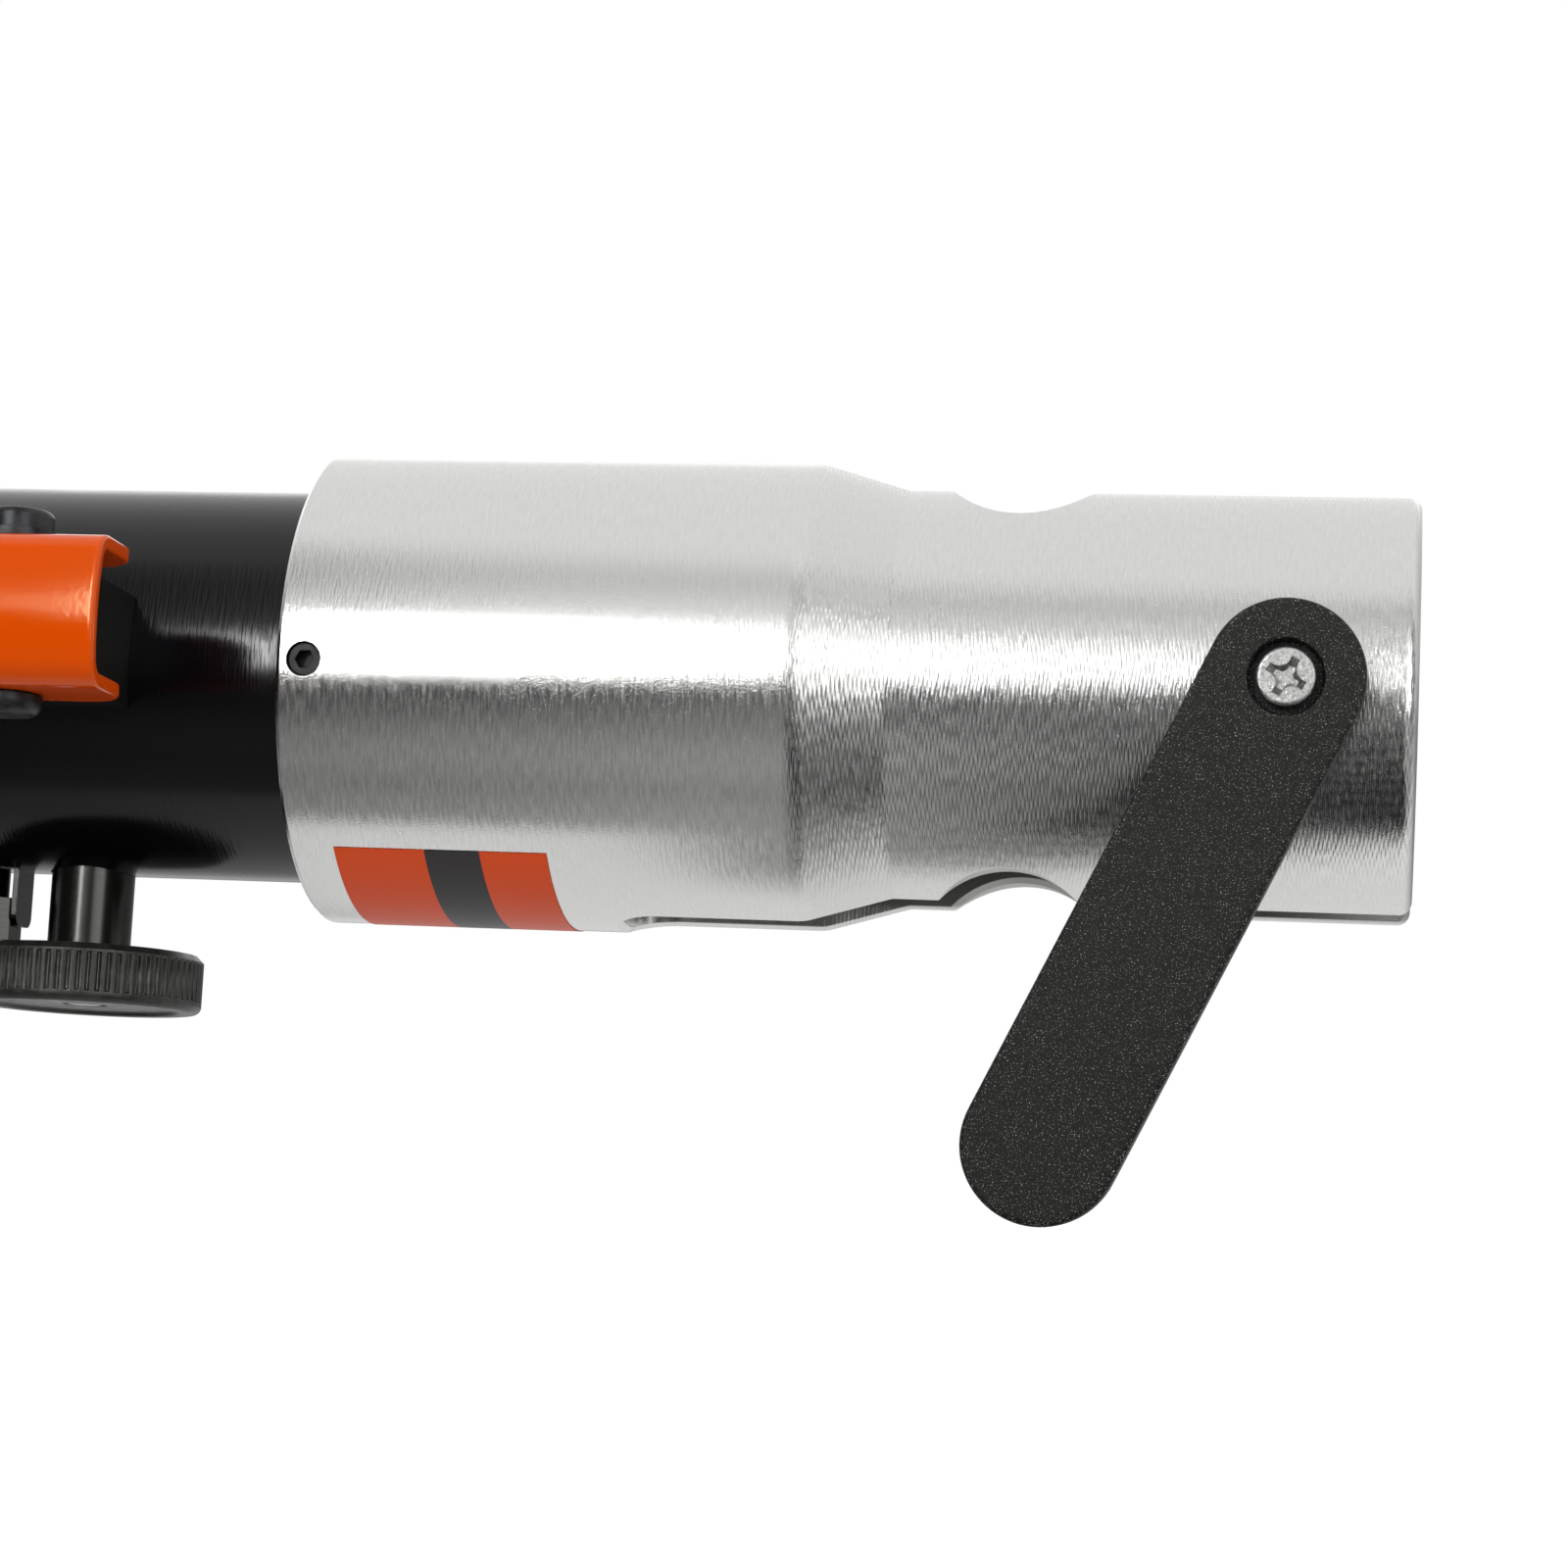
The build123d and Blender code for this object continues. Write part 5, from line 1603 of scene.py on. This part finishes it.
@dataclass
class Studio:
    """A white room: a pale floor, softboxes in front and behind, and a grey cloth on the floor in front."""

    floor_height: float = -0.17
    floor_half: float = 15.0
    floor_paint: str = "#D8D8D6"
    floor_glow: float = 0.75
    room_light: float = 0.55
    box_distance: float = 1.5
    box_width: float = 4.0
    card_half: float = 9.0
    # Angles above the horizon, with how bright the back of the room looks there.
    back_levels: tuple[Point, ...] = ((-9, 0.3), (9, 0.2), (12, 1.5), (30, 1.5), (36, 1.0), (80, 1.0))
    cloth_lift: float = 0.002
    cloth_front: float = -3.0
    under_tool: float = 0.12
    # Places behind the tool, with how bright the floor looks there.
    far_floor: tuple[Point, ...] = ((0.4, 0.8), (3.0, 0.6))
    box_slices: tuple[BoxSlice, ...] = (
        BoxSlice(-9.0, (6, 17, 20, 26, 34, 55, 70), 0.08, 0.08, 0.1, 0.6),
        BoxSlice(-1.12, (6, 17, 20, 26, 34, 55, 70), 0.08, 0.08, 0.1, 0.6),
        BoxSlice(-1.0, (14, 17.5, 20, 26, 35, 55, 70), 3.2, 1.5, 0.26, 0.6, 0.6, 0.02),
        BoxSlice(-0.70, (9, 14.5, 17, 22, 35, 55, 70), 3.2, 0.7, 0.26, 0.6, 0.6, 0.02),
        BoxSlice(-0.66, (6, 17, 24.5, 35, 43, 57, 68), 42.0, 1.3, 0.6, 0.85, 1.0),
        BoxSlice(-0.60, (4, 18, 27, 38.5, 46, 57, 67), 44.0, 1.9, 0.84, 1.0, 2.2),
        BoxSlice(-0.53, (4, 20, 30, 40, 48, 56, 66), 2.0, 1.3, 0.87, fade=7.5),
        BoxSlice(-0.38, (4.5, 17, 26, 36, 49, 52, 64), 2.3, 1.35, 0.77, fade=7.5),
        BoxSlice(-0.14, (7, 13, 20, 30, 48, 50, 58), 1.9, 1.25, 0.67, fade=6.0),
        BoxSlice(0.07, (11, 17, 24, 34, 43, 45, 54), 1.25, 1.15, 0.74, fade=8.0),
        BoxSlice(0.14, (-1.0, 16, 26, 34, 43, 45, 54), 0.08, 0.1, 0.5),
        BoxSlice(0.32, (-1.0, 16, 26, 34, 43, 45, 54), 0.08, 0.1, 0.5),
        BoxSlice(0.39, (4, 28, 36, 43, 49, 56, 65), 3.0, 1.3, 0.72, fade=6.0),
        BoxSlice(1.45, (-3, 20, 27, 35, 42, 52, 62), 4.0, 1.2, 0.4),
        BoxSlice(1.60, (-3, 20, 27, 35, 42, 52, 62), 0.08, 0.1, 0.2),
        BoxSlice(9.0, (-3, 20, 27, 35, 42, 52, 62), 0.08, 0.1, 0.2),
    )
    cloth_slices: tuple[ClothSlice, ...] = (
        ClothSlice(-9.0, -0.073, 0.1, 0.4),
        ClothSlice(-0.36, -0.073, 0.12, 0.4),
        ClothSlice(-0.27, -0.073, 0.25, 0.45),
        ClothSlice(-0.21, -0.073, 0.3, 0.86),
        ClothSlice(-0.172, -0.073, 0.32, 0.88),
        ClothSlice(-0.132, -0.073, 0.4, 0.88, 0.008),
        ClothSlice(-0.124, -0.03, 0.42, 0.9, 0.02),
        ClothSlice(-0.117, 0.018, 0.4, 0.9, 0.03),
        ClothSlice(-0.07, 0.016, 0.26, 0.9, 0.03),
        ClothSlice(-0.02, -0.02, 0.07, 0.9, 0.02),
        ClothSlice(0.014, -0.072, 0.015, 0.95, 0.02),
        ClothSlice(0.07, -0.072, 0.02, 0.95),
        ClothSlice(0.13, -0.06, 0.4, 0.9),
        ClothSlice(9.0, -0.06, 0.2, 0.8),
    )
    # Places in front of the tool, with what the cloth's tone is multiplied by there.
    cloth_folds: tuple[Point, ...] = (
        (-1.45, 1.3), (-0.9, 0.85), (-0.6, 0.8), (-0.45, 0.85), (-0.33, 0.97), (-0.25, 1.03), (-0.19, 0.98),
        (-0.153, 0.8), (-0.118, 0.95),
    )

    def build(self) -> None:
        """Makes the room and its lights."""
        self.room()
        self.floor()
        self.lamp("front_lamp", low=0.0, high=29.0, radiance=0.75)
        self.lamp("front_fill", low=18.0, high=66.0, radiance=1.25)
        self.front_box()
        self.back_box()
        self.floor_cloth()

    def seen_by_eye(self, tree: Tree) -> Socket:
        """Gives 1 for rays that show the room, straight or in a reflection, and 0 for the others.

        Args:
            tree: the node tree that gets the nodes.

        Returns:
            The output socket with that number.
        """
        paths = add_node(tree, "LightPath")
        direct = add_node(tree, "Math", {
            0: paths["Is Camera Ray"], 1: paths["Is Glossy Ray"],
        }, operation="MAXIMUM")[0]
        return add_node(tree, "Math", {0: direct, 1: paths["Is Transmission Ray"]}, operation="MAXIMUM")[0]

    def room(self) -> None:
        """Makes the white room: full white to the eye, at a plain level as a light."""
        world = bpy.data.worlds.new("white_room")
        tree = blank_tree(world)
        level = add_node(tree, "MapRange", {
            "Value": self.seen_by_eye(tree), "To Min": self.room_light, "To Max": 1.0,
        })[0]
        light = add_node(tree, "Background", {"Color": srgb(WHITE), "Strength": level})
        add_node(tree, "OutputWorld", {"Surface": light[0]})
        bpy.context.scene.world = world

    def floor(self) -> None:
        """Makes the floor, which looks white, keeps the tool's shadow and is clear from underneath."""
        bm = bmesh.new()
        half = self.floor_half
        corners = [(-half, -half), (half, -half), (half, half), (-half, half)]
        bm.faces.new([bm.verts.new((x, y, self.floor_height)) for x, y in corners])
        floor = link_mesh("floor", bm)
        # Matt white paint: takes the tool's soft shadow, and burns out to white where nothing shades it.
        paint = bpy.data.materials.new("white_floor")
        tree = blank_tree(paint)
        matt = add_node(tree, "BsdfDiffuse", {"Color": srgb(self.floor_paint)})
        level = add_node(tree, "Math", {
            0: self.seen_by_eye(tree), 1: self.floor_glow,
        }, operation="MULTIPLY")[0]
        glow = add_node(tree, "Emission", {"Color": srgb(WHITE), "Strength": level})
        both = add_node(tree, "AddShader", {0: matt[0], 1: glow[0]})
        below = add_node(tree, "NewGeometry")["Backfacing"]
        clear = add_node(tree, "BsdfTransparent")
        sided = add_node(tree, "MixShader", {0: below, 1: both[0], 2: clear[0]})
        add_node(tree, "OutputMaterial", {"Surface": sided[0]})
        floor.data.materials.append(paint)

    def lamp(self, name: str, low: float, high: float, radiance: float) -> None:
        """Hangs an area light on the camera's side. The cards stand for it in reflections.

        Args:
            name: the lamp's name.
            low: the angle of its lower edge above the horizon, in degrees.
            high: the angle of its upper edge.
            radiance: how bright its face looks, where 1 is white.
        """
        middle = radians((low + high) / 2)
        height = 2 * self.box_distance * tan(radians(high - low) / 2)
        lamp = bpy.data.lights.new(name, "AREA")
        lamp.shape = "RECTANGLE"
        lamp.size = self.box_width
        lamp.size_y = height
        lamp.energy = radiance * pi * lamp.size * lamp.size_y
        holder = bpy.data.objects.new(name, lamp)
        towards = Vector((0, -cos(middle), sin(middle)))
        holder.location = towards * self.box_distance
        holder.rotation_euler = towards.to_track_quat("Z", "Y").to_euler()
        holder.visible_camera = False
        holder.visible_glossy = False
        bpy.context.scene.collection.objects.link(holder)

    def card(self, name: str, grid: Sequence[Sequence[tuple[Vector, float]]]) -> None:
        """Hangs a sheet that shows only in reflections.

        Args:
            name: the sheet's name.
            grid: rows of points in metres, each with how bright the sheet looks there.
        """
        bm = bmesh.new()
        rows = [[bm.verts.new(point) for point, _ in row] for row in grid]
        for near, far in zip(rows, rows[1:]):
            for i in range(len(near) - 1):
                bm.faces.new((near[i], near[i + 1], far[i + 1], far[i]))
        sheet = link_mesh(name, bm)
        shade = sheet.data.attributes.new("shade", "FLOAT", "POINT")
        shade.data.foreach_set("value", [level for row in grid for _, level in row])
        # Lit cloth: gives the metal soft white and grey bands to reflect.
        cloth = bpy.data.materials.new(name)
        tree = blank_tree(cloth)
        level = add_node(tree, "Attribute", attribute_name="shade")["Fac"]
        glow = add_node(tree, "Emission", {"Color": srgb(WHITE), "Strength": level})
        add_node(tree, "OutputMaterial", {"Surface": glow[0]})
        cloth.cycles.emission_sampling = "NONE"
        sheet.data.materials.append(cloth)
        sheet.visible_camera = False
        sheet.visible_diffuse = False
        sheet.visible_shadow = False
        sheet.visible_transmission = False

    def arc(self, x: float, degrees: float, side: int) -> Vector:
        """Gives the point of a card at an angle above the horizon, in front (-1) or behind (1)."""
        angle = radians(degrees)
        return Vector((x, side * self.box_distance * cos(angle), self.box_distance * sin(angle)))

    def front_box(self) -> None:
        """Hangs the front light as it is reflected: white boxes, a hot strip and a gap, under grey cloth."""
        grid = [
            [(self.arc(cut.x, angle, -1), shade) for angle, shade in cut.column()]
            for cut in self.box_slices
        ]
        self.card("front_softbox", grid)

    def back_box(self) -> None:
        """Hangs a softer box behind the tool, over a grey wall."""
        ends = (-self.card_half, self.card_half)
        grid = [[(self.arc(x, angle, 1), shade) for angle, shade in self.back_levels] for x in ends]
        self.card("back_softbox", grid)

    def floor_cloth(self) -> None:
        """Lays the grey cloth on the floor in front of the tool, with a few soft folds."""
        low = self.floor_height + self.cloth_lift
        grid = []
        for cut in self.cloth_slices:
            levels = [
                (self.cloth_front, cut.shade / 2),
                *((y, cut.shade * fold) for y, fold in self.cloth_folds),
                (cut.edge - cut.blur, cut.shade),
                (cut.edge + cut.blur, cut.floor),
                (self.under_tool, cut.floor),
                *self.far_floor,
            ]
            grid.append([(Vector((cut.x, y, low)), shade) for y, shade in levels])
        self.card("floor_cloth", grid)


@dataclass
class PhotoCamera:
    """The camera at the photograph's viewing angle."""

    place: tuple[float, float, float] = (0.0144, -0.6524, -0.0786)
    look: tuple[float, float, float] = (-0.1563, 0.9831, 0.0957)
    up: tuple[float, float, float] = (-0.0277, -0.1012, 0.9945)
    lens_mm: float = 85.4
    sensor_mm: float = 36.0
    nearest: float = 0.01

    def build(self) -> None:
        """Sets up the camera and makes it the scene's."""
        lens = bpy.data.cameras.new("camera")
        lens.lens = self.lens_mm
        lens.sensor_width = self.sensor_mm
        lens.clip_start = self.nearest
        holder = bpy.data.objects.new("camera", lens)
        look = Vector(self.look).normalized()
        right = look.cross(Vector(self.up)).normalized()
        up = right.cross(look)
        turned = Matrix((right, up, -look)).transposed()
        holder.matrix_world = Matrix.Translation(self.place) @ turned.to_4x4()
        bpy.context.scene.collection.objects.link(holder)
        bpy.context.scene.camera = holder


def main() -> None:
    """Builds the camera, the room and the tool, in that order."""
    logging.basicConfig(level=logging.INFO, format="%(name)s: %(message)s")
    bpy.context.scene.view_settings.view_transform = "Standard"
    PhotoCamera().build()
    Studio().build()
    groups = [
        JawHead(),
        JawPinAndLatch(),
        RamAndRollers(),
        PumpBody(),
        PumpLever(),
        ReleaseValve(),
        FixedHandle(),
    ]
    for group in groups:
        group.build()
        LOG.info("finished %s", type(group).__name__)


if __name__ == "__main__":
    main()
